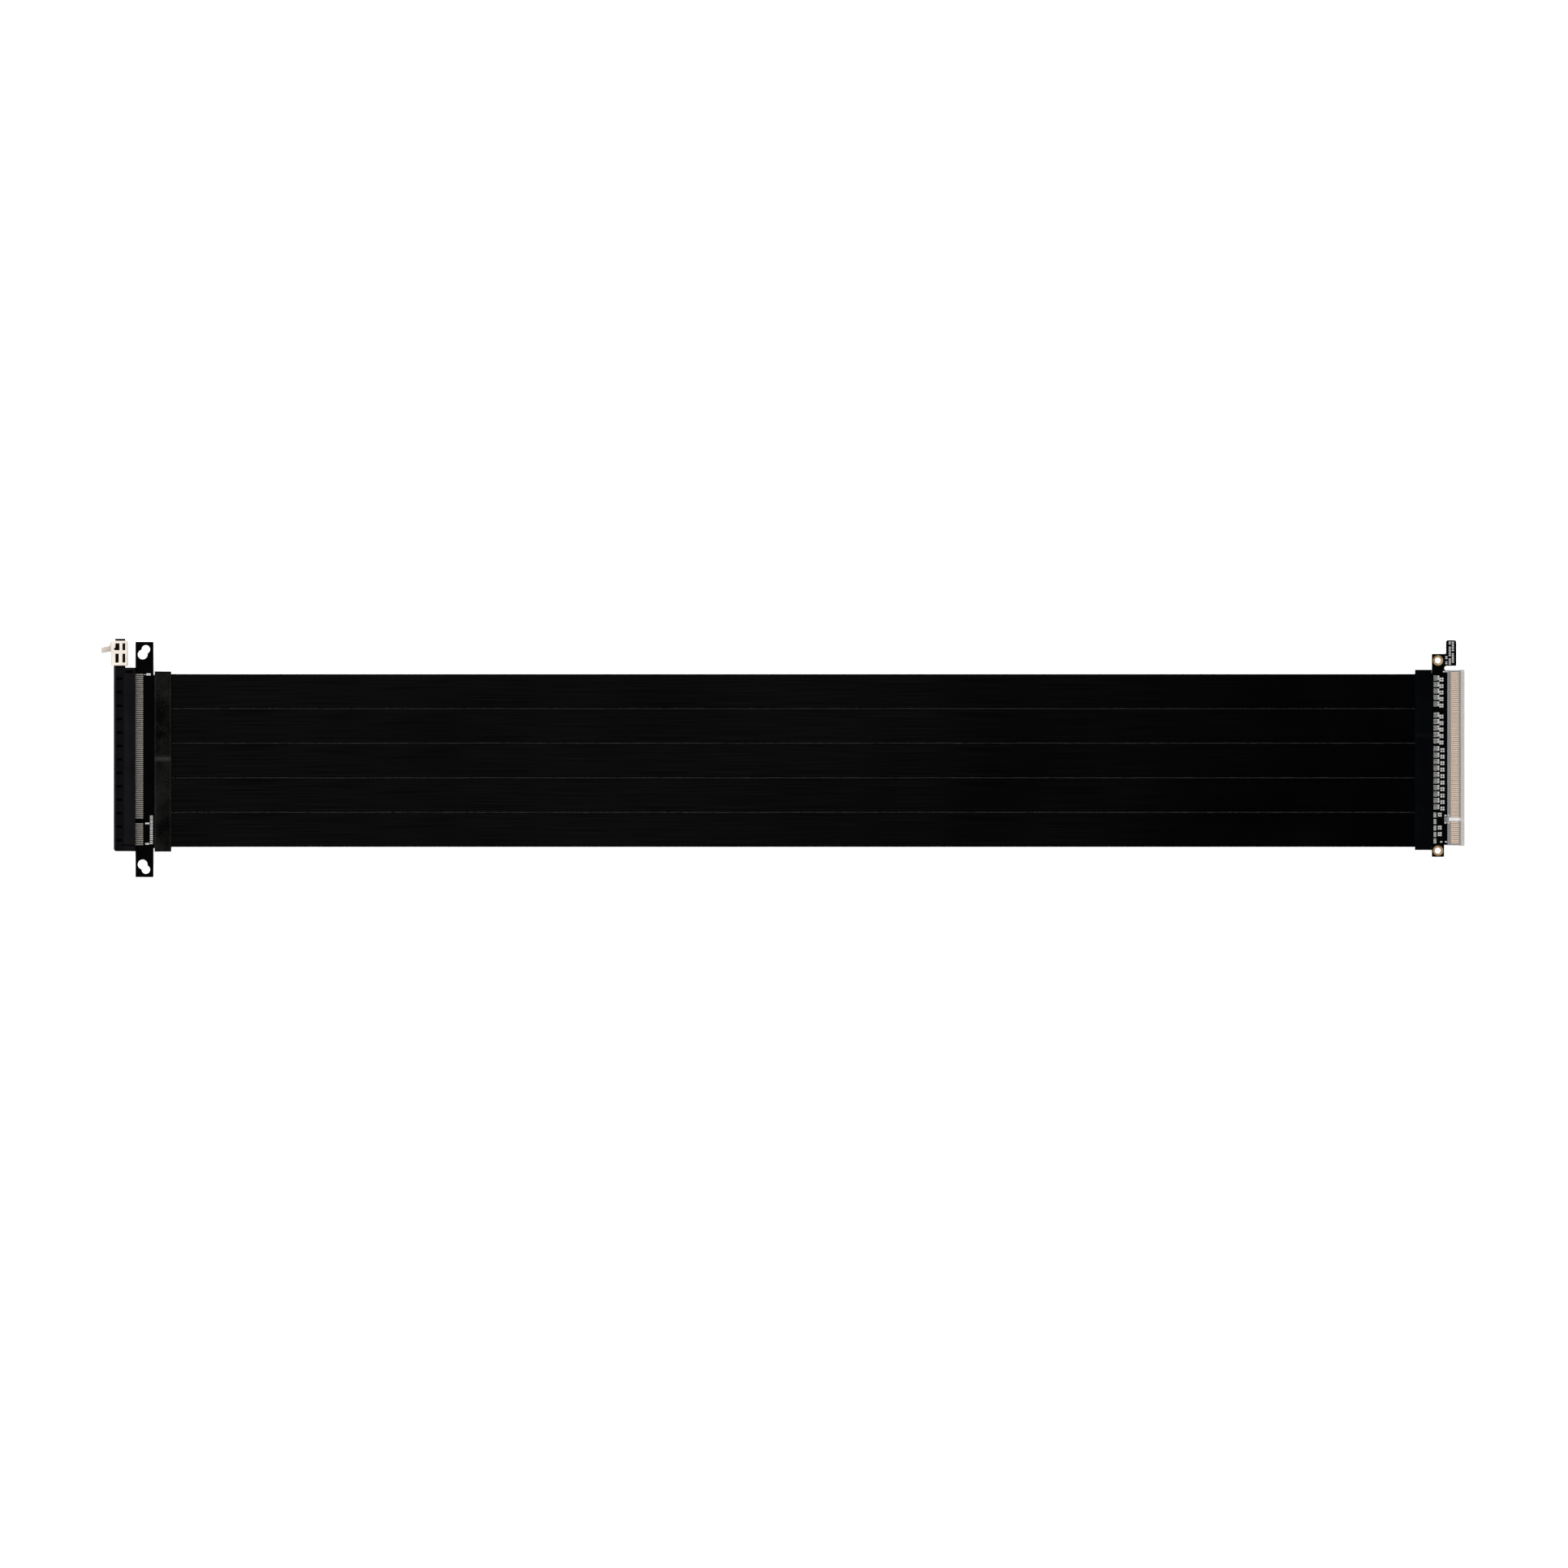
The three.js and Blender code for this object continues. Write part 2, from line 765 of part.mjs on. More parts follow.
const slotEnd = new THREE.Group();
slotEnd.add(
  makeSlotHousing(),
  makeLatch(),
  makeSlotBoard(),
  makePotting("slot_end_potting", slotWrap, slotBoard.rear, 1),
  makeWrap("slot_end_wrap", slotWrap, 1),
);
slotEnd.position.z = cableRoute[0][1];

const cable = new THREE.Group();
for (let i = 0; i < ribbon.count; i++) cable.add(makeRibbon(i));
cable.position.set(slotBoard.rear + potting.cover + ribbonSeat, ribbon.shift, 0);

const plugEnd = new THREE.Group();
plugEnd.add(
  makePlugBoard(),
  makePlatedHole("plated_hole_upper", plugBoard.upperHole),
  makePlatedHole("plated_hole_lower", plugBoard.lowerHole),
  makePotting("plug_end_potting", plugWrap, plugBoard.rearTongue, -1),
  makeWrap("plug_end_wrap", plugWrap, -1),
  makeCover(),
);
const plugShift = 0.8; // the plug lies a little off the slot's centre line
plugEnd.position.set(
  cable.position.x + cableLength + ribbonSeat + potting.cover + plugBoard.rearTongue,
  plugShift,
  plugHeight,
);

const riserCable = new THREE.Group();
riserCable.add(slotEnd, cable, plugEnd);

// The origin is under the middle of the whole part, on the surface that it lies on.
const extent = new THREE.Box3().setFromObject(riserCable);
const middle = extent.getCenter(new THREE.Vector3());
riserCable.position.set(-middle.x, -middle.y, -extent.min.z);

export default riserCable;
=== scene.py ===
# A GPU riser cable: slot connector, five flat ribbons and a card-edge plug under a clear cover.
# Lengths in the dictionaries are millimetres. +X runs from the slot to the plug, +Z is up.
import math
import random

import bpy
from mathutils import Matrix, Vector


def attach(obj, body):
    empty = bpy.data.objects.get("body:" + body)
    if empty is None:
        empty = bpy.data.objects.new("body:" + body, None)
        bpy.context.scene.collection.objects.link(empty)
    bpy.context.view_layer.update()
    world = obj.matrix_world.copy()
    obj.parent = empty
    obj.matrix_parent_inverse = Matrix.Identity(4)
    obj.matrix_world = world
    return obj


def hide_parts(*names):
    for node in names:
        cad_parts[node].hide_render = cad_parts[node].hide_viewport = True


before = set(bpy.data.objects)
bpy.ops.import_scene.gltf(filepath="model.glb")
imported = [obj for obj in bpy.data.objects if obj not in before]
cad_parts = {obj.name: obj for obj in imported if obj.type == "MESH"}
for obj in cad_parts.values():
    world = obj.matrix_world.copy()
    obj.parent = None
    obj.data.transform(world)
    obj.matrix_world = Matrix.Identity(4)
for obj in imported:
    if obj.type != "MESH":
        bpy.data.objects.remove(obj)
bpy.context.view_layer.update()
mm = 0.001
hair = 0.01  # tolerance for finding vertices and faces by their place
toolReach = 6  # size of the cutting tools, so that they stand out past the faces they cut

slotOrigin = Vector((-326.925, -0.75, 3.8))  # middle of the slot's mouth face
plugOrigin = Vector((331.175, 0.05, 1.7))  # middle of the plug's card edge
cableStart = Vector((-300.425, -1.25, 0))  # slot end of the ribbons, on the floor


# Camera: it looks straight down
camera = {
    "x": 0.56,
    "y": -12.73,
    "height": 8000,
    "frameWidth": 766.4,  # what the frame takes in at the level below
    "level": 3,
    "sensor": 36,
    "clip": (50, 20000),
}


def makeCamera():
    data = bpy.data.cameras.new("camera")
    data.sensor_width = camera["sensor"]
    data.lens = camera["sensor"] * camera["height"] / camera["frameWidth"]
    data.clip_start, data.clip_end = (distance * mm for distance in camera["clip"])
    lens = bpy.data.objects.new("camera", data)
    lens.location = (camera["x"] * mm, camera["y"] * mm, (camera["height"] + camera["level"]) * mm)
    bpy.context.scene.collection.objects.link(lens)
    bpy.context.scene.camera = lens


# Small helpers for nodes and colours


def hexColour(text):
    channels = [int(text[i : i + 2], 16) / 255 for i in (1, 3, 5)]
    linear = [c / 12.92 if c <= 0.04045 else ((c + 0.055) / 1.055) ** 2.4 for c in channels]
    return (*linear, 1.0)


def perSize(size):
    # a pattern's scale from the size of its grain in millimetres
    return 1 / (size * mm)


def addNode(tree, kind, inputs=None, **settings):
    node = tree.nodes.new("ShaderNode" + kind)
    for name, value in settings.items():
        setattr(node, name, value)
    for name, value in (inputs or {}).items():
        if isinstance(value, bpy.types.NodeSocket):
            tree.links.new(value, node.inputs[name])
        else:
            node.inputs[name].default_value = value
    return node


def setStops(ramp, stops):
    elements = ramp.color_ramp.elements
    while len(elements) < len(stops):
        elements.new(0.5)
    for element, (position, colour) in zip(elements, stops):
        element.position = position
        element.color = hexColour(colour)


def startMaterial(name):
    material = bpy.data.materials.new(name)
    material.use_nodes = True
    material.node_tree.nodes.clear()
    return material, material.node_tree


def finishMaterial(material, surface):
    addNode(material.node_tree, "OutputMaterial", {"Surface": surface.outputs[0]})
    return material


# Small helpers for meshes


def deselectAll():
    if bpy.context.object and bpy.context.object.mode != "OBJECT":
        bpy.ops.object.mode_set(mode="OBJECT")
    bpy.ops.object.select_all(action="DESELECT")


def makeActive(piece):
    deselectAll()
    piece.select_set(True)
    bpy.context.view_layer.objects.active = piece


def addCube(name, low, high):
    deselectAll()
    low, high = Vector(low) * mm, Vector(high) * mm
    bpy.ops.mesh.primitive_cube_add(size=1, location=(low + high) / 2, scale=high - low)
    piece = bpy.context.object
    piece.name = piece.data.name = name
    bpy.ops.object.transform_apply(location=True, rotation=True, scale=True)
    return piece


def addPin(name, centre, radius, height, vertices=32):
    deselectAll()
    bpy.ops.mesh.primitive_cylinder_add(
        vertices=vertices, radius=radius * mm, depth=height * mm, location=Vector(centre) * mm
    )
    piece = bpy.context.object
    piece.name = piece.data.name = name
    bpy.ops.object.transform_apply(location=True, rotation=True, scale=True)
    return piece


def pick(piece, kind, test):
    # Leaves the piece in edit mode with the vertices, edges or faces that pass the test.
    # A test gets each one's middle in millimetres, and for a face its normal too.
    makeActive(piece)
    bpy.ops.object.mode_set(mode="EDIT")
    bpy.ops.mesh.select_mode(type=kind)
    bpy.ops.mesh.select_all(action="DESELECT")
    bpy.ops.object.mode_set(mode="OBJECT")
    mesh = piece.data
    if kind == "VERT":
        for v in mesh.vertices:
            v.select = test(v.co / mm)
    elif kind == "EDGE":
        for e in mesh.edges:
            a, b = (mesh.vertices[i].co / mm for i in e.vertices)
            e.select = test((a + b) / 2, (b - a).normalized())
    else:
        for f in mesh.polygons:
            f.select = test(f.center / mm, f.normal)
    bpy.ops.object.mode_set(mode="EDIT")


def bisectAt(piece, axis, places):
    pick(piece, "VERT", lambda p: True)
    normal = [float(axis == i) for i in range(3)]
    for place in places:
        point = [place * mm * n for n in normal]
        bpy.ops.mesh.select_all(action="SELECT")
        bpy.ops.mesh.bisect(plane_co=point, plane_no=normal)
    bpy.ops.object.mode_set(mode="OBJECT")


def applyModifier(piece, kind, **settings):
    makeActive(piece)
    modifier = piece.modifiers.new(kind.lower(), kind)
    for name, value in settings.items():
        setattr(modifier, name, value)
    bpy.ops.object.modifier_apply(modifier=modifier.name)


def cutWith(piece, tool):
    applyModifier(piece, "BOOLEAN", object=tool, operation="DIFFERENCE", solver="EXACT")
    bpy.data.objects.remove(tool)


def mergeWith(piece, part):
    applyModifier(piece, "BOOLEAN", object=part, operation="UNION", solver="EXACT")
    bpy.data.objects.remove(part)


def repeatAlongY(piece, count, pitch):
    applyModifier(
        piece,
        "ARRAY",
        count=count,
        use_relative_offset=False,
        use_constant_offset=True,
        constant_offset_displace=(0, pitch * mm, 0),
    )


def bevelWhere(piece, test, width, segments):
    pick(piece, "EDGE", test)
    bpy.ops.mesh.bevel(offset=width * mm, segments=segments)
    bpy.ops.object.mode_set(mode="OBJECT")


def softenEdges(piece, width, segments=2, angle=35):
    applyModifier(
        piece,
        "BEVEL",
        width=width * mm,
        segments=segments,
        limit_method="ANGLE",
        angle_limit=math.radians(angle),
        harden_normals=False,
    )


cadWeld = {"gap": 0.002, "flat": 0.5}  # joins loose triangles and flat faces in a copied node


def copyNode(node, name):
    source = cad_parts[node]
    piece = bpy.data.objects.new(name, source.data.copy())
    bpy.context.scene.collection.objects.link(piece)
    piece.data.materials.clear()
    pick(piece, "VERT", lambda p: True)
    bpy.ops.mesh.remove_doubles(threshold=cadWeld["gap"] * mm)
    bpy.ops.mesh.dissolve_limited(angle_limit=math.radians(cadWeld["flat"]))
    bpy.ops.object.mode_set(mode="OBJECT")
    return piece


def joinPieces(name, members):
    makeActive(members[0])
    for member in members:
        member.select_set(True)
    bpy.ops.object.join()
    piece = bpy.context.object
    piece.name = piece.data.name = name
    return piece


def settle(piece, material, nodes=(), body="cable_assembly", angle=35):
    makeActive(piece)
    bpy.ops.object.shade_smooth_by_angle(angle=math.radians(angle))
    piece.data.materials.clear()
    piece.data.materials.append(material)
    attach(piece, body)
    if nodes:
        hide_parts(*nodes)
    return piece


def dressNode(node, material):
    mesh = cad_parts[node]
    for socket in mesh.material_slots:
        socket.link = "OBJECT"
        socket.material = material


# Ribbons: film-jacketed flat cables, each with its shielded pairs side by side
ribbon = {
    "width": 16.89,  # the film edges meet over the gap between the cables
    "thickness": 1.1,
    "pitch": 16.9,
    "count": 5,
    "length": 611,
    "pairs": 8,
    "ribHeight": 0.07,
    "selvedge": 0.55,  # pressed film edge past the outer pairs
    "selvedgeThickness": 0.5,
    "selvedgeRound": 0.8,
    "shoulder": (0.5, 0.28),  # width at the outer pairs' sides, and how far it rounds off there
    "acrossSteps": 64,
    "edgeBias": 0.6,  # crowds the steps towards the edges
    "alongStep": 3.0,
    "cordStep": 4,
    # distance along the cable and height above the floor
    "route": [
        (0, 3.8), (5, 3.8), (9, 3.62), (14, 3.1), (20, 2.25), (26, 1.45), (32, 0.92), (39, 0.68),
        (50, 0.62), (90, 0.62), (150, 0.62), (210, 0.62), (270, 0.62), (330, 0.62), (390, 0.62),
        (450, 0.62), (510, 0.62), (560, 0.62), (580, 0.66), (590, 0.85), (597, 1.25),
        (603, 1.58), (607, 1.7), (611, 1.7),
    ],
    # slow lift of the lying stretch: amount, wavelength and phase, one row for each ribbon
    "waves": [
        (0.05, 210, 0.4), (0.05, 260, 1.2), (0.04, 230, 1.8), (0.05, 240, 1.1), (0.06, 220, 0.5),
    ],
    "still": (45, 60),  # stretch without a lift at each end, and where it eases in
}


def routeHeight(x):
    route = ribbon["route"]
    i = max(k for k in range(len(route) - 1) if route[k][0] <= x)
    (x0, z0), (x1, z1) = route[i], route[i + 1]
    before = route[max(i - 1, 0)]
    after = route[min(i + 2, len(route) - 1)]
    slope0 = (z1 - before[1]) / (x1 - before[0])
    slope1 = (after[1] - z0) / (after[0] - x0)
    t = (x - x0) / (x1 - x0)
    span = x1 - x0
    return (
        (2 * t**3 - 3 * t**2 + 1) * z0
        + (t**3 - 2 * t**2 + t) * span * slope0
        + (3 * t**2 - 2 * t**3) * z1
        + (t**3 - t**2) * span * slope1
    )


def ribbonHalfHeight(u):
    # half thickness at a place across the ribbon, scalloped over the pairs
    r = ribbon
    inner = r["width"] / 2 - r["selvedge"]
    pitch = 2 * inner / r["pairs"]
    crown = abs(math.cos(math.pi * (u + inner) / pitch - math.pi / 2)) ** 0.5
    body = r["thickness"] / 2 - r["ribHeight"] * (1 - crown)
    past = abs(u) - inner
    if past <= 0:
        reach, drop = r["shoulder"]
        edge = min(1.0, -past / reach)
        return body * (1 - drop + drop * math.sqrt(1 - (1 - edge) ** 2))
    fall = r["selvedgeRound"] * (past / r["selvedge"]) ** 4
    return r["selvedgeThickness"] / 2 * math.sqrt(1 - fall)


def makeRibbon(index, material):
    r = ribbon
    wave, length, phase = r["waves"][index]
    middle = (r["count"] - 1) / 2
    centre = cableStart + Vector((0, (middle - index) * r["pitch"], 0))
    steps = round(r["length"] / r["alongStep"])
    still, easing = r["still"]
    path = []
    for k in range(steps + 1):
        x = k * r["length"] / steps
        ease = min(1, max(0, (x - still) / easing))
        ease *= min(1, max(0, (r["length"] - still - x) / easing))
        lift = wave * ease * (1 + math.sin(2 * math.pi * x / length + phase))
        path.append(centre + Vector((x, 0, routeHeight(x) + lift)))
    n = r["acrossSteps"]
    across = [-r["width"] / 2 * math.cos(math.pi * j / n) for j in range(n + 1)]
    bias, even = r["edgeBias"], (1 - r["edgeBias"]) * r["width"]
    across = [bias * u + even * (j / n - 0.5) for j, u in enumerate(across)]
    ring = [(u, ribbonHalfHeight(u)) for u in across]
    ring += [(u, -h) for u, h in reversed(ring)]
    points, faces = [], []
    for p in path:
        points += [(p + Vector((0, u, h))) * mm for u, h in ring]
    size = len(ring)
    for k in range(steps):
        for j in range(size):
            a, b = k * size + j, k * size + (j + 1) % size
            faces.append((a, a + size, b + size, b))
    faces.append(tuple(range(size)))
    faces.append(tuple(steps * size + j for j in reversed(range(size))))
    mesh = bpy.data.meshes.new(f"ribbon_{index + 1}_jacket")
    mesh.from_pydata(points, [], faces)
    layer = mesh.uv_layers.new(name="across_along")
    for loop in mesh.loops:
        k, j = divmod(loop.vertex_index, size)
        layer.data[loop.index].uv = (ring[j][0] * mm, path[k].x * mm)
    piece = bpy.data.objects.new(mesh.name, mesh)
    bpy.context.scene.collection.objects.link(piece)
    pick(piece, "FACE", lambda c, normal: True)
    bpy.ops.mesh.normals_make_consistent(inside=False)
    settle(piece, material, [f"ribbon_{index + 1}"], angle=60)


# The slot connector's moulding
housing = {
    "depth": 10.55,
    "half": 44.85,
    "front": 3.5,
    "rear": 3.8,
    "step": 5.3,
    "chamfer": (0.9, 0.45),
    "cornerCut": 0.8,
    "slotHalf": 0.9,
    "slotDepth": 6.9,
    "slotReach": 42.75,
    "leadIn": (0.8, 1.4),
    "webHalf": 0.8,
    "keyY": -30.0,
    "armDepth": 5.5,
    "armTip": 59.0,
    "armHalf": 2.25,
    "armRoot": 1.2,  # how far the arm reaches into the moulding
    "channel": (5.0, 1.0),  # depth and half height of the arm's hollow
    "tipBar": 1.1,
    "tipInset": 0.65,
    "edge": 0.14,
    "pivot": (3.45, 57.2, 0.85),  # distance from the mouth, place along Y, radius
    "before": 1,  # tools that open the mouth start this far before it
    "notch": {
        "count": 13,
        "pitch": 6.565,
        "start": 1.45,
        "length": 2.8,
        "width": 1.2,
        "depth": 0.6,
    },
    "pocket": {"start": 5.7, "length": 3.8, "y": (42.25, 43.45), "depth": 0.35},
    "groove": {"start": 3.8, "length": 6.3, "y": (-42.15, -41.65), "depth": 0.35},
}
# The contacts' own row: 82 a side at 1 mm, with the key's gap after the first 11
row = {"pitch": 1.0, "first": -41.5, "beforeKey": 11, "afterKey": 71, "keyJump": 3.0}
chamber = {"half": 0.31, "outer": 2.3}


def slotBox(name, x, y, z):
    low = slotOrigin + Vector((x[0], y[0], z[0]))
    high = slotOrigin + Vector((x[1], y[1], z[1]))
    return addCube(name, low, high)


def repeatAlongRow(piece, name):
    # one copy for each contact, in the two runs on either side of the key
    run = piece.copy()
    run.data = piece.data.copy()
    bpy.context.scene.collection.objects.link(run)
    repeatAlongY(piece, row["beforeKey"], row["pitch"])
    shift = (row["beforeKey"] - 1) * row["pitch"] + row["keyJump"]
    for v in run.data.vertices:
        v.co.y += shift * mm
    repeatAlongY(run, row["afterKey"], row["pitch"])
    return joinPieces(name, [piece, run])


def inRecess(place):
    # true for a face of a notch, pocket or groove, its place taken from the mouth's middle
    h = housing
    notch = h["notch"]
    height = abs(place.z)
    if notch["start"] - hair < place.x < notch["start"] + notch["length"] + hair:
        if h["front"] - notch["depth"] - hair < height < h["front"] - 2 * hair:
            return True
    for recess in (h["pocket"], h["groove"]):
        low, high = recess["y"]
        floor = h["rear"] - recess["depth"]
        if low - hair < place.y < high + hair and floor - hair < height < h["rear"] - 2 * hair:
            return True
    return False


def makeHousing(material, recessShadeMaterial):
    h = housing
    o = slotOrigin
    half, front = h["half"], h["front"]
    body = slotBox("slot_moulding", (0, h["depth"]), (-half, half), (-front, front))
    bisectAt(body, 0, [o.x + h["chamfer"][0], o.x + h["step"]])
    rise = h["rear"] - h["front"]
    for side in (1, -1):  # the thicker rear half
        pick(body, "FACE", lambda c, n: c.x > o.x + h["step"] and n.z * side > 0.9)
        bpy.ops.mesh.extrude_region_move(TRANSFORM_OT_translate={"value": (0, 0, side * rise * mm)})
    pick(body, "VERT", lambda p: p.x < o.x + hair)
    squeeze = (h["front"] - h["chamfer"][1]) / h["front"]
    bpy.ops.transform.resize(value=(1, 1, squeeze), center_override=o * mm)
    bevelWhere(
        body,
        lambda c, along: abs(along.z) > 0.9 and c.x < o.x + hair and c.y < o.y - h["half"] + hair,
        h["cornerCut"],
        1,
    )
    softenEdges(body, h["edge"])

    tip = h["armTip"]
    armHalf = h["armHalf"]
    arm = slotBox("arm", (0, h["armDepth"]), (half - h["armRoot"], tip), (-armHalf, armHalf))
    bisectAt(arm, 1, [o.y + tip - 2 * h["tipBar"], o.y + tip - h["tipBar"]])
    pick(arm, "VERT", lambda p: p.x < o.x + hair and p.y > o.y + tip - h["tipBar"] - hair)
    bpy.ops.transform.translate(value=(h["tipInset"] * mm, 0, 0))
    bpy.ops.object.mode_set(mode="OBJECT")
    softenEdges(arm, h["edge"])
    mergeWith(body, arm)

    inner, outer = h["keyY"] - h["webHalf"], h["keyY"] + h["webHalf"]
    for low, high in ((-h["slotReach"], inner), (outer, h["slotReach"])):
        z = (-h["slotHalf"], h["slotHalf"])
        slot = slotBox("slot", (-h["before"], h["slotDepth"]), (low, high), z)
        bisectAt(slot, 0, [o.x, o.x + h["leadIn"][0]])
        pick(slot, "VERT", lambda p: p.x < o.x + hair)
        widen = h["leadIn"][1] / h["slotHalf"]
        bpy.ops.transform.resize(value=(1, 1, widen), center_override=o * mm)
        bpy.ops.object.mode_set(mode="OBJECT")
        cutWith(body, slot)
    chambers = slotBox(
        "chambers",
        (-h["before"], h["slotDepth"] - hair),
        (row["first"] - chamber["half"], row["first"] + chamber["half"]),
        (-chamber["outer"], chamber["outer"]),
    )
    cutWith(body, repeatAlongRow(chambers, "chambers"))
    deep, high = h["channel"]
    cutWith(
        body, slotBox("channel", (-h["before"], deep), (half, tip - h["tipBar"]), (-high, high))
    )
    x, y, radius = h["pivot"]
    cutWith(body, addPin("pivot_hole", o + Vector((x, y, 0)), radius, 2 * toolReach))
    for side in (1, -1):
        notch = h["notch"]
        edge = (notch["count"] - 1) / 2 * notch["pitch"] + notch["width"] / 2
        z = sorted((side * (h["front"] - notch["depth"]), side * toolReach))
        cutter = slotBox(
            "notches",
            (notch["start"], notch["start"] + notch["length"]),
            (-edge, -edge + notch["width"]),
            z,
        )
        repeatAlongY(cutter, notch["count"], notch["pitch"])
        cutWith(body, cutter)
        for recess in (h["pocket"], h["groove"]):
            z = sorted((side * (h["rear"] - recess["depth"]), side * toolReach))
            x = (recess["start"], recess["start"] + recess["length"])
            cutWith(body, slotBox("recess", x, recess["y"], z))
    settle(body, material, ["slot_housing"])
    # the faces of the notches, pocket and groove take the second material, darkened with painted
    # shade
    body.data.materials.append(recessShadeMaterial)
    for face in body.data.polygons:
        face.material_index = int(inRecess(face.center / mm - o))


# The slot's metal: a formed spring and a solder tail for each contact
contact = {
    "width": 0.42,
    "thickness": 0.22,
    # centre line of a spring, from its root to its tip: distance from the mouth and height
    "spring": [
        (6.95, 1.8), (5.6, 1.62), (4.2, 1.22), (3.2, 0.86),
        (2.6, 0.75), (2.1, 0.86), (1.6, 1.2), (1.25, 1.55),
    ],
    "root": 0.05,  # length of the first block, from which the spring is drawn out
    "tailHalf": 0.3,
    "tailStart": 10.5,
    "tailEnd": 14.0,
    "tailShoulder": 13.2,
    "tailTop": 1.05,
    "tailTip": 0.88,
    "tailRound": 0.09,
    "boardTop": 0.8,
    "padHalf": 0.34,
    "padInset": 0.1,
    "padEnd": 14.3,
    "padCorner": 0.2,
    "padThickness": 0.035,
}


def makeContacts(springMaterial, tailMaterial):
    c = contact
    o = slotOrigin
    y = row["first"]
    half = c["width"] / 2
    springs, tails = [], []
    for side in (1, -1):
        x0, z0 = c["spring"][0]
        z = sorted((side * (z0 - c["thickness"] / 2), side * (z0 + c["thickness"] / 2)))
        place = x0 - c["root"]
        spring = slotBox("spring", (place, x0), (y - half, y + half), z)
        for (xa, za), (xb, zb) in zip([(place, z0)] + c["spring"][1:-1], c["spring"][1:]):
            pick(spring, "FACE", lambda p, n: n.x < -0.5 and p.x < o.x + xa + hair)
            step = Vector((xb - xa, 0, side * (zb - za))) * mm
            bpy.ops.mesh.extrude_region_move(TRANSFORM_OT_translate={"value": step})
        bpy.ops.object.mode_set(mode="OBJECT")
        springs.append(repeatAlongRow(spring, "springs"))

        z = sorted((side * c["boardTop"], side * c["tailTop"]))
        tail = slotBox(
            "tail", (c["tailStart"], c["tailEnd"]), (y - c["tailHalf"], y + c["tailHalf"]), z
        )
        bisectAt(tail, 0, [o.x + c["tailShoulder"]])
        top = side * c["tailTop"]
        pick(
            tail,
            "VERT",
            lambda p: p.x > o.x + c["tailEnd"] - hair and abs(p.z - o.z - top) < hair,
        )
        drop = side * (c["tailTip"] - c["tailTop"])
        bpy.ops.transform.translate(value=(0, 0, drop * mm))
        above = c["tailTip"] - 5 * hair
        bevelWhere(
            tail, lambda p, a: abs(a.x) > 0.9 and abs(p.z - o.z) > above, c["tailRound"], 2
        )
        z = sorted((side * c["boardTop"], side * (c["boardTop"] + c["padThickness"])))
        pad = slotBox(
            "pad",
            (c["tailStart"] + c["padInset"], c["padEnd"]),
            (y - c["padHalf"], y + c["padHalf"]),
            z,
        )
        end = o.x + c["padEnd"] - hair
        bevelWhere(pad, lambda p, a: abs(a.z) > 0.9 and p.x > end, c["padCorner"], 3)
        tails.append(repeatAlongRow(joinPieces("tail", [tail, pad]), "tails"))
    settle(joinPieces("slot_springs", springs), springMaterial)
    settle(joinPieces("solder_tails", tails), tailMaterial)


# The ivory latch
latchEdge = {"width": 0.16, "segments": 2}


def makeLatch(material):
    piece = copyNode("retention_latch", "latch_moulding")
    softenEdges(piece, latchEdge["width"], latchEdge["segments"])
    settle(piece, material, ["retention_latch"], body="latch")


# Cloth tape round each cable end: a flat band that narrows to the ribbons on the cable side
wrap = {
    "wall": 0.35,
    "halfWidth": 44.05,
    "taper": 1.8,
    "mouthHalf": 1.0,
    "corner": 0.6,
    "fray": 0.16,
    "lapRise": 0.14,  # where the tape's end lies on its first turn
    "middle": -1.0,
    "steps": (24, 160),  # along and across
    "jags": 400,
    "jagsPerMm": 2.2,
    "jagStart": 50,
    "seed": 7,
}
wraps = {
    "slot_end_wrap": {
        "origin": slotOrigin,
        "side": 1,
        "start": 19.85,
        "length": 8.25,
        "half": 1.95,
        "lap": 0.35,
    },
    "plug_end_wrap": {
        "origin": plugOrigin,
        "side": -1,
        "start": 13.9,
        "length": 8.35,
        "half": 1.5,
        "lap": 11.0,
    },
}


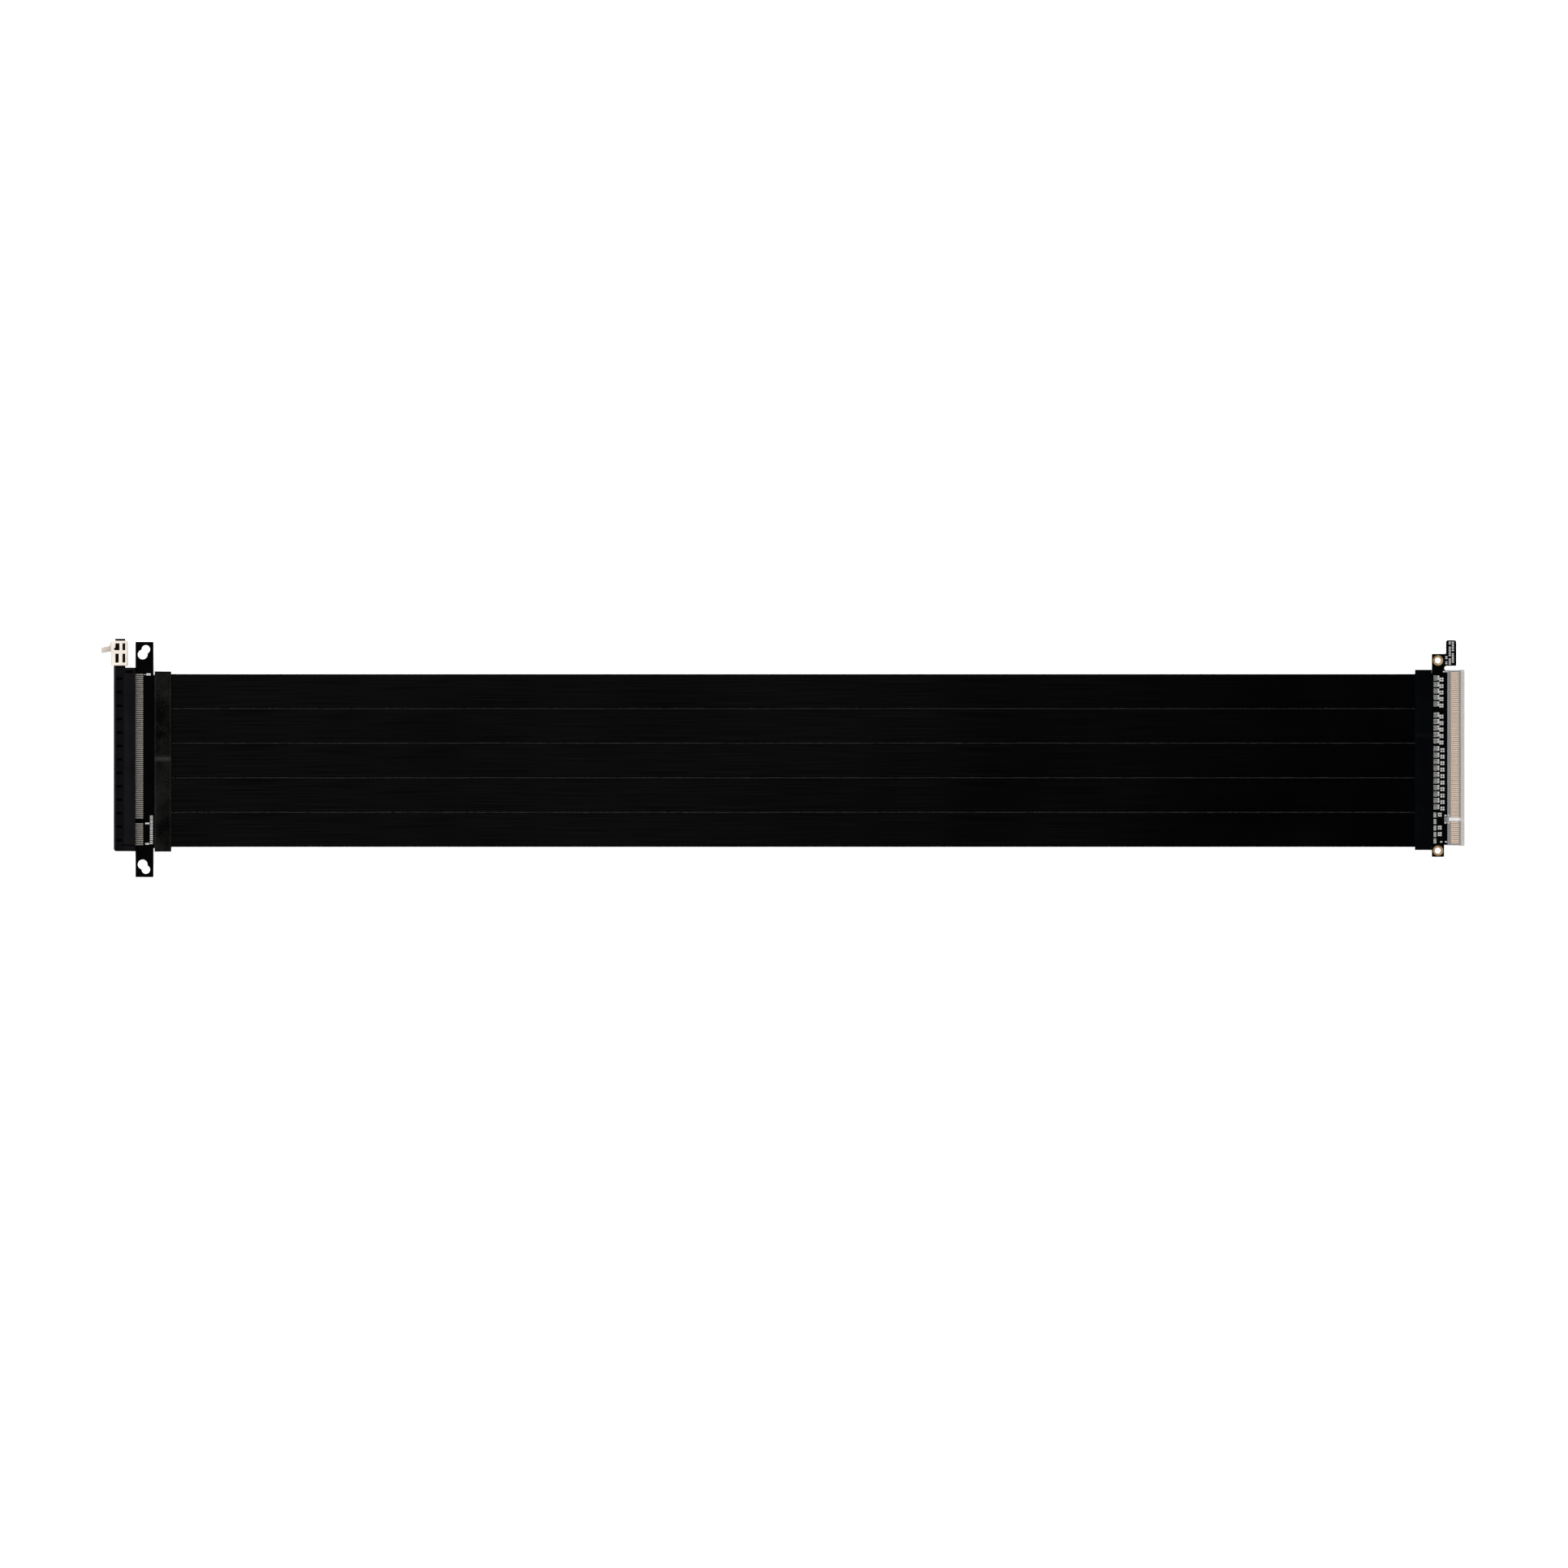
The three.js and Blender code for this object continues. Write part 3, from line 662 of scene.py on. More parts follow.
def makeWrap(node, material):
    w = wrap
    size = wraps[node]
    o, side = size["origin"], size["side"]
    near, far = side * size["start"], side * (size["start"] + size["length"])
    low, high = sorted((near, far))
    middle = w["middle"]
    piece = addCube(
        node + "_tape",
        o + Vector((low, middle - w["halfWidth"], -size["half"])),
        o + Vector((high, middle + w["halfWidth"], size["half"])),
    )
    bevelWhere(piece, lambda c, along: abs(along.x) > 0.9, w["corner"], 4)
    pick(piece, "FACE", lambda c, n: abs(n.x) > 0.9)
    bpy.ops.mesh.delete(type="FACE")
    bpy.ops.object.mode_set(mode="OBJECT")
    bend = size["start"] + size["length"] - w["taper"]
    along, across = w["steps"]
    columns = [o.x + low + k * size["length"] / along for k in range(1, along)]
    bisectAt(piece, 0, columns + [o.x + side * bend])
    first = o.y + middle - w["halfWidth"]
    rows = [first + k * 2 * w["halfWidth"] / across for k in range(1, across)]
    bisectAt(piece, 1, rows)
    edge = random.Random(w["seed"])
    jags = [edge.uniform(0, 1) for _ in range(w["jags"])]
    for v in piece.data.vertices:
        p = v.co / mm - o
        past = min(1.0, max(0.0, (side * p.x - bend) / w["taper"]))
        scale = 1 + (w["mouthHalf"] / size["half"] - 1) * past
        lap = w["lapRise"] if p.z > 0 and p.y > size["lap"] else 0
        v.co.z = (o.z + p.z * scale + lap) * mm
        if abs(p.x - near) < hair or abs(p.x - far) < hair:
            jag = jags[int((p.y + w["jagStart"]) * w["jagsPerMm"]) % w["jags"]]
            inward = 1 if abs(p.x - max(near, far)) < hair else -1
            v.co.x -= inward * jag * w["fray"] * mm
    applyModifier(piece, "SOLIDIFY", thickness=w["wall"] * mm, offset=-1, use_even_offset=False)
    pick(piece, "FACE", lambda c, n: True)
    bpy.ops.mesh.normals_make_consistent(inside=False)
    settle(piece, material, [node], angle=60)


# The plug's gold fingers, on both faces of its board
finger = {"half": 0.36, "rear": -4.62, "front": -0.68, "low": 0.74, "high": 0.862, "corner": 0.1}


def makeFingers(material):
    f = finger
    rows = []
    for side in (1, -1):
        z = sorted((side * f["low"], side * f["high"]))
        low = plugOrigin + Vector((f["rear"], row["first"] - f["half"], z[0]))
        high = plugOrigin + Vector((f["front"], row["first"] + f["half"], z[1]))
        piece = addCube("finger", low, high)
        bevelWhere(piece, lambda c, along: abs(along.z) > 0.9, f["corner"], 2)
        rows.append(repeatAlongRow(piece, "fingers"))
    settle(joinPieces("gold_fingers", rows), material)


# Printed marks on the boards: plain bars and dots of legend ink in rows, each a thin layer
marks = {
    "thickness": 0.02,
    "slot": {
        "leader": {"size": (1.25, 0.2), "at": [(-311.72, 40.72)]},
        "field": {"size": (2.2, 1.1), "at": [(-310.0, 40.85)]},
        "short": {"size": (2.0, 0.8), "at": [(-310.6, -32.0), (-310.6, -41.95)]},
        "dash": {"size": (1.5, 0.55), "at": [(-308.55, -28.5 - 0.95 * k) for k in range(15)]},
    },
    "groupTops": [40.42, 22.34, 5.9, -9.95, -26.6],
    "rowPitch": 3.17,
    "rows": 5,
    # places along X of the columns of blocks; from the third group on, the squares stand apart
    "columns": {"hatch": 319.0, "strip": 320.45, "square": 321.9, "thin": 318.75, "low": 320.6},
    "apart": 0.5,
    "corner": 0.3,  # rounding, as a share of the short side
}


def plugMarks():
    # a column of hatched blocks with a bright strip beside it, then a column of small squares
    columns = marks["columns"]
    hatch, strip, quarter, thin = [], [], [], []
    for group, top in enumerate(marks["groupTops"]):
        last = group == len(marks["groupTops"]) - 1
        square = columns["square"] + (marks["apart"] if group >= 2 else 0)
        for k in range(marks["rows"]):
            y = top - k * marks["rowPitch"]
            if last:
                thin += [(columns["thin"], y - 0.35 - 0.62 * j) for j in range(4)]
                if k in (0, 2, 3):
                    low = columns["low"]
                    quarter += [(low + i, y - 0.6 - 1.05 * j) for i in (0, 1) for j in (0, 1)]
                continue
            hatch += [(columns["hatch"], y - 0.3 - 0.52 * j) for j in range(5)]
            strip += [(columns["strip"], y - 0.65), (columns["strip"], y - 1.85)]
            x = square - 0.55
            quarter += [(x + 1.1 * i, y - 1.6 - 1.05 * j) for i in (0, 1) for j in (0, 1)]
    hatch += [(324.25, -29.0 - 0.5 * j) for j in range(5)]  # shading at the key notch's root
    tab = [(x, 56.6 - 0.82 * k) for x in (326.0, 327.5) for k in range(14) if (k * 5 + int(x)) % 7]
    tab += [(324.3, 49.5 - 0.85 * k) for k in (0, 1, 3, 4)]
    ends = [(323.2, 42.2), (324.6, 42.2), (323.9, -28.1), (323.9, -31.7)]
    ends += [(321.8, -41.0), (324.1, -41.0), (325.4, -28.1), (325.4, -31.7)]
    return {
        "hatch": {"size": (1.95, 0.2), "at": hatch},
        "strip": {"size": (0.85, 1.05), "at": strip},
        "quarter": {"size": (0.9, 0.85), "at": quarter},
        "thin": {"size": (1.4, 0.4), "at": thin},
        "tab": {"size": (1.05, 0.55), "at": tab},
        "end": {"size": (1.1, 0.7), "at": ends},
    }


def makeMarks(name, kinds, top, material):
    members = []
    for kind in kinds.values():
        (width, height), places = kind["size"], kind["at"]
        x, y = places[0]
        low = (x - width / 2, y - height / 2, top)
        mark = addCube(name, low, (x + width / 2, y + height / 2, top + marks["thickness"]))
        corner = marks["corner"] * min(width, height)
        bevelWhere(mark, lambda c, along: abs(along.z) > 0.9, corner, 2)
        members.append(mark)
        for nextX, nextY in places[1:]:
            twin = mark.copy()
            twin.data = mark.data.copy()
            bpy.context.scene.collection.objects.link(twin)
            twin.location = ((nextX - x) * mm, (nextY - y) * mm, 0)
            members.append(twin)
    settle(joinPieces(name, members), material)


# The two circuit boards, with round holes, and the plated eyelets of the plug board
boards = {
    # distance from the mouth or the card edge, radius and place along Y
    "slotHoles": [(14.05, 2.4, 51.3), (15.6, 2.1, 53.8)],
    "plugHoles": [(-10.95, 2.0, 47.6), (-10.95, 2.0, -45.35)],
    "half": 0.8,  # half their thickness
    "edge": 0.06,
    "rim": 64,  # steps round a hole
    "notchRoot": {"rear": -7.9, "front": -5.7, "y": (-31.1, -28.9)},
    "eyelet": {"bore": 1.5, "barrel": 1.85, "ring": 2.5, "rise": 0.06, "edge": 0.03},
}


def makeBoards(material, plating):
    half, rim = boards["half"], boards["rim"]
    slotBoard = copyNode("slot_board", "slot_circuit_board")
    for x, radius, y in boards["slotHoles"]:
        for side in (1, -1):
            centre = slotOrigin + Vector((x, side * y, 0))
            cutWith(slotBoard, addPin("hole", centre, radius, toolReach, rim))
    softenEdges(slotBoard, boards["edge"], 1, 50)
    settle(slotBoard, material, ["slot_board"])
    plugBoard = copyNode("plug_board", "plug_circuit_board")
    for x, radius, y in boards["plugHoles"]:
        centre = plugOrigin + Vector((x, y, 0))
        cutWith(plugBoard, addPin("hole", centre, radius, toolReach, rim))
    root = boards["notchRoot"]
    low = plugOrigin + Vector((root["rear"], root["y"][0], -half))
    high = plugOrigin + Vector((root["front"], root["y"][1], half))
    mergeWith(plugBoard, addCube("root", low, high))
    settle(plugBoard, material, ["plug_board"])
    e = boards["eyelet"]
    for (x, _, y), node in zip(boards["plugHoles"], ("plated_hole_upper", "plated_hole_lower")):
        centre = plugOrigin + Vector((x, y, 0))
        eyelet = addPin(node + "_eyelet", centre, e["barrel"], 2 * half, rim)
        for side in (1, -1):
            lift = Vector((0, 0, side * (half + e["rise"] / 2)))
            mergeWith(eyelet, addPin("flange", centre + lift, e["ring"], e["rise"], rim))
        cutWith(eyelet, addPin("bore", centre, e["bore"], toolReach, rim))
        softenEdges(eyelet, e["edge"], 2, 40)
        settle(eyelet, plating, [node])


# The clear cover over the fingers
coverEdge = {"width": 0.22, "segments": 3}


def makeCover(material):
    piece = copyNode("finger_cover", "clear_cover")
    softenEdges(piece, coverEdge["width"], coverEdge["segments"], angle=50)
    settle(piece, material, ["finger_cover"], body="cover")


# Materials
waveBands = 3.1416  # a wave node draws about this many bands in a unit at scale 1


# colours along the moulding, from its mouth to its rear: a painted highlight along the mouth's
# chamfered edge, polished at the front and eroded to a greyer black on the rear half
nylon = {
    "outer": [(0.07, "#2a292e"), (0.1, "#080709"), (0.48, "#09080b"), (0.54, "#111013")],
    # recess: near-black painted shade for the faces of the notches, pocket and groove
    "recess": [(0.0, "#010101"), (1.0, "#020202")],
    "patch": 9,
    "grain": 0.35,  # coarser than the real 0.1 mm so that it shows
    "roughness": 0.5,
}


def blackNylon(name, zones, gloss):
    # glass-filled nylon, injection moulded: satin black with a fine eroded grain
    spec = nylon
    material, tree = startMaterial(name)
    place = addNode(tree, "TexCoord").outputs["Object"]
    along = addNode(tree, "SeparateXYZ", {"Vector": place}).outputs["X"]
    start, end = slotOrigin.x, slotOrigin.x + housing["depth"]
    zone = addNode(
        tree, "MapRange", {"Value": along, "From Min": start * mm, "From Max": end * mm}
    )
    ramp = addNode(tree, "ValToRGB", {"Fac": zone.outputs["Result"]})
    setStops(ramp, zones)
    patch = addNode(
        tree, "TexNoise", {"Vector": place, "Scale": perSize(spec["patch"]), "Detail": 3}
    )
    shade = addNode(tree, "ValToRGB", {"Fac": patch.outputs["Fac"]})
    setStops(shade, [(0.3, "#d0d0d0"), (0.7, "#ffffff")])
    colour = addNode(
        tree,
        "Mix",
        {"Factor": 1.0, "A": ramp.outputs["Color"], "B": shade.outputs["Color"]},
        data_type="RGBA",
        blend_type="MULTIPLY",
    )
    grain = addNode(
        tree, "TexNoise", {"Vector": place, "Scale": perSize(spec["grain"]), "Detail": 4}
    )
    rough = addNode(
        tree,
        "MapRange",
        {
            "Value": grain.outputs["Fac"],
            "To Min": spec["roughness"] - 0.1,
            "To Max": spec["roughness"] + 0.1,
        },
    )
    bump = addNode(
        tree, "Bump", {"Height": grain.outputs["Fac"], "Strength": 0.25, "Distance": 0.03 * mm}
    )
    surface = addNode(
        tree,
        "BsdfPrincipled",
        {
            "Base Color": colour.outputs["Result"],
            "Roughness": rough.outputs["Result"],
            "Specular IOR Level": gloss,
            "Normal": bump.outputs["Normal"],
        },
    )
    return finishMaterial(material, surface)


def ivoryNylon():
    # unfilled nylon, injection moulded: creamy, faintly see-through at its edges, its finger
    # lever greyer with painted shade
    spec = {
        "light": "#fff6ea",
        "dark": "#f6e8da",
        "lever": "#d6cbc2",
        "leverFrom": (-0.5, -1.5),  # distance from the mouth
        "patch": 5,
        "grain": 0.5,
    }
    material, tree = startMaterial("ivory_nylon_moulded")
    place = addNode(tree, "TexCoord").outputs["Object"]
    patch = addNode(
        tree, "TexNoise", {"Vector": place, "Scale": perSize(spec["patch"]), "Detail": 3}
    )
    ramp = addNode(tree, "ValToRGB", {"Fac": patch.outputs["Fac"]})
    setStops(ramp, [(0.3, spec["dark"]), (0.7, spec["light"])])
    # painted shade: the lever, in front of the mouth, is mixed towards a greyer colour
    along = addNode(tree, "SeparateXYZ", {"Vector": place}).outputs["X"]
    start, end = (slotOrigin.x + reach for reach in spec["leverFrom"])
    leverShadeShare = addNode(
        tree, "MapRange", {"Value": along, "From Min": start * mm, "From Max": end * mm}
    )
    colour = addNode(
        tree,
        "Mix",
        {
            "Factor": leverShadeShare.outputs["Result"],
            "A": ramp.outputs["Color"],
            "B": hexColour(spec["lever"]),
        },
        data_type="RGBA",
    )
    grain = addNode(
        tree, "TexNoise", {"Vector": place, "Scale": perSize(spec["grain"]), "Detail": 3}
    )
    bump = addNode(
        tree, "Bump", {"Height": grain.outputs["Fac"], "Strength": 0.15, "Distance": 0.02 * mm}
    )
    surface = addNode(
        tree,
        "BsdfPrincipled",
        {
            "Base Color": colour.outputs["Result"],
            "Roughness": 0.42,
            "Subsurface Weight": 0.15,
            "Subsurface Radius": (0.001, 0.0007, 0.0004),
            "Subsurface Scale": 0.5,
            "Normal": bump.outputs["Normal"],
        },
    )
    return finishMaterial(material, surface)


def solderMask():
    # black solder mask over etched copper: smooth, with the tracks raised a little under it
    spec = {"dark": "#020202", "light": "#050506", "track": 2.0, "patch": 4}
    material, tree = startMaterial("solder_mask_black")
    place = addNode(tree, "TexCoord").outputs["Object"]
    tracks = addNode(
        tree,
        "TexWave",
        {
            "Vector": place,
            "Scale": perSize(spec["track"]) / waveBands,
            "Distortion": 1.5,
            "Detail": 2,
        },
        bands_direction="Y",
    )
    patch = addNode(
        tree, "TexNoise", {"Vector": place, "Scale": perSize(spec["patch"]), "Detail": 4}
    )
    ramp = addNode(tree, "ValToRGB", {"Fac": patch.outputs["Fac"]})
    setStops(ramp, [(0.35, spec["dark"]), (0.7, spec["light"])])
    bump = addNode(
        tree, "Bump", {"Height": tracks.outputs["Fac"], "Strength": 0.3, "Distance": 0.03 * mm}
    )
    surface = addNode(
        tree,
        "BsdfPrincipled",
        {
            "Base Color": ramp.outputs["Color"],
            "Roughness": 0.35,
            "Specular IOR Level": 0.01,
            "Normal": bump.outputs["Normal"],
        },
    )
    return finishMaterial(material, surface)


def pottingResin():
    # epoxy potting, poured: flat black with shallow flow marks
    spec = {"dark": "#08080a", "light": "#101012", "flow": 3}
    material, tree = startMaterial("epoxy_potting_poured")
    place = addNode(tree, "TexCoord").outputs["Object"]
    flow = addNode(tree, "TexNoise", {"Vector": place, "Scale": perSize(spec["flow"]), "Detail": 2})
    ramp = addNode(tree, "ValToRGB", {"Fac": flow.outputs["Fac"]})
    setStops(ramp, [(0.3, spec["dark"]), (0.7, spec["light"])])
    bump = addNode(
        tree, "Bump", {"Height": flow.outputs["Fac"], "Strength": 0.4, "Distance": 0.1 * mm}
    )
    surface = addNode(
        tree,
        "BsdfPrincipled",
        {"Base Color": ramp.outputs["Color"], "Roughness": 0.4, "Normal": bump.outputs["Normal"]},
    )
    return finishMaterial(material, surface)


def clothTape(node, name, dark, light, paintedHighlight):
    # woven polyester harness tape: matt, mottled where it was handled, with a painted highlight on
    # its cut edges and along the lap where it ends
    spec = {
        "thread": 0.45,  # spacing, coarser than the real 0.25 mm so that it shows
        "fibre": 0.8,
        "patch": 13,
        "highlightBand": 1.1,
        "paintedHighlight": 0.4,
        "lapHighlightBand": (1.6, 0.2),  # distances from the lap where the painted highlight starts and is full
        "lapHighlight": 0.9,
    }
    size = wraps[node]
    middle = size["origin"].x + size["side"] * (size["start"] + size["length"] / 2)
    material, tree = startMaterial(name)
    place = addNode(tree, "TexCoord").outputs["Object"]
    axes = addNode(tree, "SeparateXYZ", {"Vector": place}).outputs
    scale = perSize(spec["thread"]) / waveBands
    warp = addNode(
        tree, "TexWave", {"Vector": place, "Scale": scale, "Distortion": 0.6}, bands_direction="X"
    )
    weft = addNode(
        tree, "TexWave", {"Vector": place, "Scale": scale, "Distortion": 0.6}, bands_direction="Y"
    )
    weave = addNode(
        tree, "Math", {0: warp.outputs["Fac"], 1: weft.outputs["Fac"]}, operation="MULTIPLY"
    )
    patch = addNode(
        tree, "TexNoise", {"Vector": place, "Scale": perSize(spec["patch"]), "Detail": 2}
    )
    fibre = addNode(
        tree,
        "TexNoise",
        {"Vector": place, "Scale": perSize(spec["fibre"]), "Detail": 6, "Roughness": 0.7},
    )
    mottle = addNode(
        tree, "Mix", {"Factor": 0.45, "A": patch.outputs["Fac"], "B": fibre.outputs["Fac"]}
    )
    ramp = addNode(tree, "ValToRGB", {"Fac": mottle.outputs["Result"]})
    setStops(ramp, [(0.38, dark), (0.66, light)])
    # painted highlight: pale bands along the cut edges and along the lap, broken up by the fibre
    # noise
    bands = []
    half = size["length"] / 2
    for axis, centre, (low, high), amount in (
        ("X", middle, (half - spec["highlightBand"], half), spec["paintedHighlight"]),
        ("Y", size["origin"].y + size["lap"], spec["lapHighlightBand"], spec["lapHighlight"]),
    ):
        away = addNode(tree, "Math", {0: axes[axis], 1: centre * mm}, operation="SUBTRACT")
        away = addNode(tree, "Math", {0: away.outputs[0]}, operation="ABSOLUTE")
        band = addNode(
            tree,
            "MapRange",
            {
                "Value": away.outputs[0],
                "From Min": low * mm,
                "From Max": high * mm,
                "To Max": amount,
            },
        )
        bands.append(band.outputs["Result"])
    edge = addNode(tree, "Math", {0: bands[0], 1: bands[1]}, operation="MAXIMUM")
    edge = addNode(
        tree, "Math", {0: edge.outputs[0], 1: fibre.outputs["Fac"]}, operation="MULTIPLY"
    )
    colour = addNode(
        tree,
        "Mix",
        {"Factor": edge.outputs[0], "A": ramp.outputs["Color"], "B": hexColour(paintedHighlight)},
        data_type="RGBA",
    )
    height = addNode(
        tree, "Math", {0: weave.outputs[0], 1: fibre.outputs["Fac"]}, operation="ADD"
    )
    bump = addNode(
        tree, "Bump", {"Height": height.outputs[0], "Strength": 0.6, "Distance": 0.12 * mm}
    )
    surface = addNode(
        tree,
        "BsdfPrincipled",
        {
            "Base Color": colour.outputs["Result"],
            "Roughness": 0.9,
            "Specular IOR Level": 0.02,
            "Normal": bump.outputs["Normal"],
        },
    )
    return finishMaterial(material, surface)


def ribbonFilm():
    # black polyester film laminated over the pairs: satin, drawn out along its length, with
    # painted light making it greyer towards the slot end and darker towards the plug
    spec = {
        "paintedShade": ("#010101", "#030303"),
        "paintedLight": ("#060606", "#121212"),
        "paintedShadeFrom": 0.34,  # metres from the slot end
        "streak": 0.5,
        "streakLength": 40,
        "patch": 70,
        "roughness": 0.4,
    }
    material, tree = startMaterial("polyester_film_laminated")
    uv = addNode(tree, "UVMap", uv_map="across_along").outputs["UV"]
    stretched = addNode(
        tree,
        "Mapping",
        {"Vector": uv, "Scale": (perSize(spec["streak"]), perSize(spec["streakLength"]), 1)},
    )
    streaks = addNode(tree, "TexNoise", {"Vector": stretched.outputs[0], "Scale": 1, "Detail": 3})
    shades = []
    for dark, light in (spec["paintedLight"], spec["paintedShade"]):
        shade = addNode(tree, "ValToRGB", {"Fac": streaks.outputs["Fac"]})
        setStops(shade, [(0.3, dark), (0.75, light)])
        shades.append(shade.outputs["Color"])
    place = addNode(tree, "TexCoord").outputs["Object"]
    patch = addNode(
        tree, "TexNoise", {"Vector": place, "Scale": perSize(spec["patch"]), "Detail": 2}
    )
    # painted light: lighter towards the slot end and darker from there towards the plug, broken up
    # by slow random patches
    along = addNode(tree, "SeparateXYZ", {"Vector": uv}).outputs["Y"]
    along = addNode(
        tree,
        "MapRange",
        {"Value": along, "From Max": spec["paintedShadeFrom"], "To Min": -0.45, "To Max": 0.6},
    )
    paintedShade = addNode(
        tree,
        "Math",
        {0: along.outputs["Result"], 1: patch.outputs["Fac"]},
        operation="ADD",
        use_clamp=True,
    )
    colour = addNode(
        tree, "Mix", {"Factor": paintedShade.outputs[0], "A": shades[0], "B": shades[1]}, data_type="RGBA"
    )
    rough = addNode(
        tree,
        "MapRange",
        {
            "Value": streaks.outputs["Fac"],
            "To Min": spec["roughness"] - 0.08,
            "To Max": spec["roughness"] + 0.08,
        },
    )
    bump = addNode(
        tree, "Bump", {"Height": streaks.outputs["Fac"], "Strength": 0.2, "Distance": 0.03 * mm}
    )
    surface = addNode(
        tree,
        "BsdfPrincipled",
        {
            "Base Color": colour.outputs["Result"],
            "Roughness": rough.outputs["Result"],
            "Specular IOR Level": 0.005,
            "Normal": bump.outputs["Normal"],
        },
    )
    return finishMaterial(material, surface)


def plated(name, colour, shade, roughness, grain):
    # electroplated metal: bright, a little uneven where it was dipped or rolled
    material, tree = startMaterial(name)
    place = addNode(tree, "TexCoord").outputs["Object"]
    noise = addNode(tree, "TexNoise", {"Vector": place, "Scale": perSize(grain), "Detail": 3})
    ramp = addNode(tree, "ValToRGB", {"Fac": noise.outputs["Fac"]})
    setStops(ramp, [(0.3, shade), (0.7, colour)])
    bump = addNode(
        tree, "Bump", {"Height": noise.outputs["Fac"], "Strength": 0.3, "Distance": 0.05 * mm}
    )
    surface = addNode(
        tree,
        "BsdfPrincipled",
        {
            "Base Color": ramp.outputs["Color"],
            "Metallic": 1.0,
            "Roughness": roughness,
            "Normal": bump.outputs["Normal"],
        },
    )
    return finishMaterial(material, surface)


def whiteInk():
    # epoxy legend ink, screen printed: chalky, thinner in spots
    spec = {"light": "#e4e4e2", "dark": "#8f8f90", "spot": 0.3}
    material, tree = startMaterial("legend_ink_printed")
    place = addNode(tree, "TexCoord").outputs["Object"]
    spots = addNode(
        tree, "TexNoise", {"Vector": place, "Scale": perSize(spec["spot"]), "Detail": 3}
    )
    ramp = addNode(tree, "ValToRGB", {"Fac": spots.outputs["Fac"]})
    setStops(ramp, [(0.3, spec["dark"]), (0.6, spec["light"])])
    surface = addNode(
        tree, "BsdfPrincipled", {"Base Color": ramp.outputs["Color"], "Roughness": 0.7}
    )
    return finishMaterial(material, surface)


def clearVinyl():
    # soft clear PVC, moulded: milky, so what lies under it shows through pale, and thicker
    # and duller at its closed end; each wall is crossed twice
    spec = {
        "colour": "#e2e2e3",
        "end": "#b4aca1",
        "endFrom": (-1.4, 0.2),  # distance from the card edge
        "haze": 0.22,
        "endHaze": 0.46,
        "cloud": 2.5,
    }
    material, tree = startMaterial("soft_pvc_moulded")
    place = addNode(tree, "TexCoord").outputs["Object"]
    along = addNode(tree, "SeparateXYZ", {"Vector": place}).outputs["X"]
    start, end = (plugOrigin.x + reach for reach in spec["endFrom"])
    closed = addNode(
        tree, "MapRange", {"Value": along, "From Min": start * mm, "From Max": end * mm}
    ).outputs["Result"]
    colour = addNode(
        tree,
        "Mix",
        {"Factor": closed, "A": hexColour(spec["colour"]), "B": hexColour(spec["end"])},
        data_type="RGBA",
    )
    cloud = addNode(
        tree, "TexNoise", {"Vector": place, "Scale": perSize(spec["cloud"]), "Detail": 3}
    )
    haze = addNode(
        tree,
        "MapRange",
        {
            "Value": cloud.outputs["Fac"],
            "To Min": spec["haze"] - 0.03,
            "To Max": spec["haze"] + 0.03,
        },
    )
    alpha = addNode(
        tree, "Mix", {"Factor": closed, "A": haze.outputs["Result"], "B": spec["endHaze"]}
    )
    surface = addNode(
        tree,
        "BsdfPrincipled",
        {
            "Base Color": colour.outputs["Result"],
            "Roughness": 0.25,
            "Alpha": alpha.outputs["Result"],
        },
    )
    return finishMaterial(material, surface)


# Studio: white floor, a soft key from the left and an even surround
studio = {
    "surround": 0.72,
    "paper": "#f6f6f6",
    "glow": 0.8,
    "floor": (6, -0.0001),  # size and height in metres
    # power, place and size in metres
    "lamps": {
        "key_lamp": (9.0, (-1.1, 0.3, 1.2), 0.8),
        "fill_lamp": (5.5, (1.1, -0.6, 1.9), 1.2),
    },
}


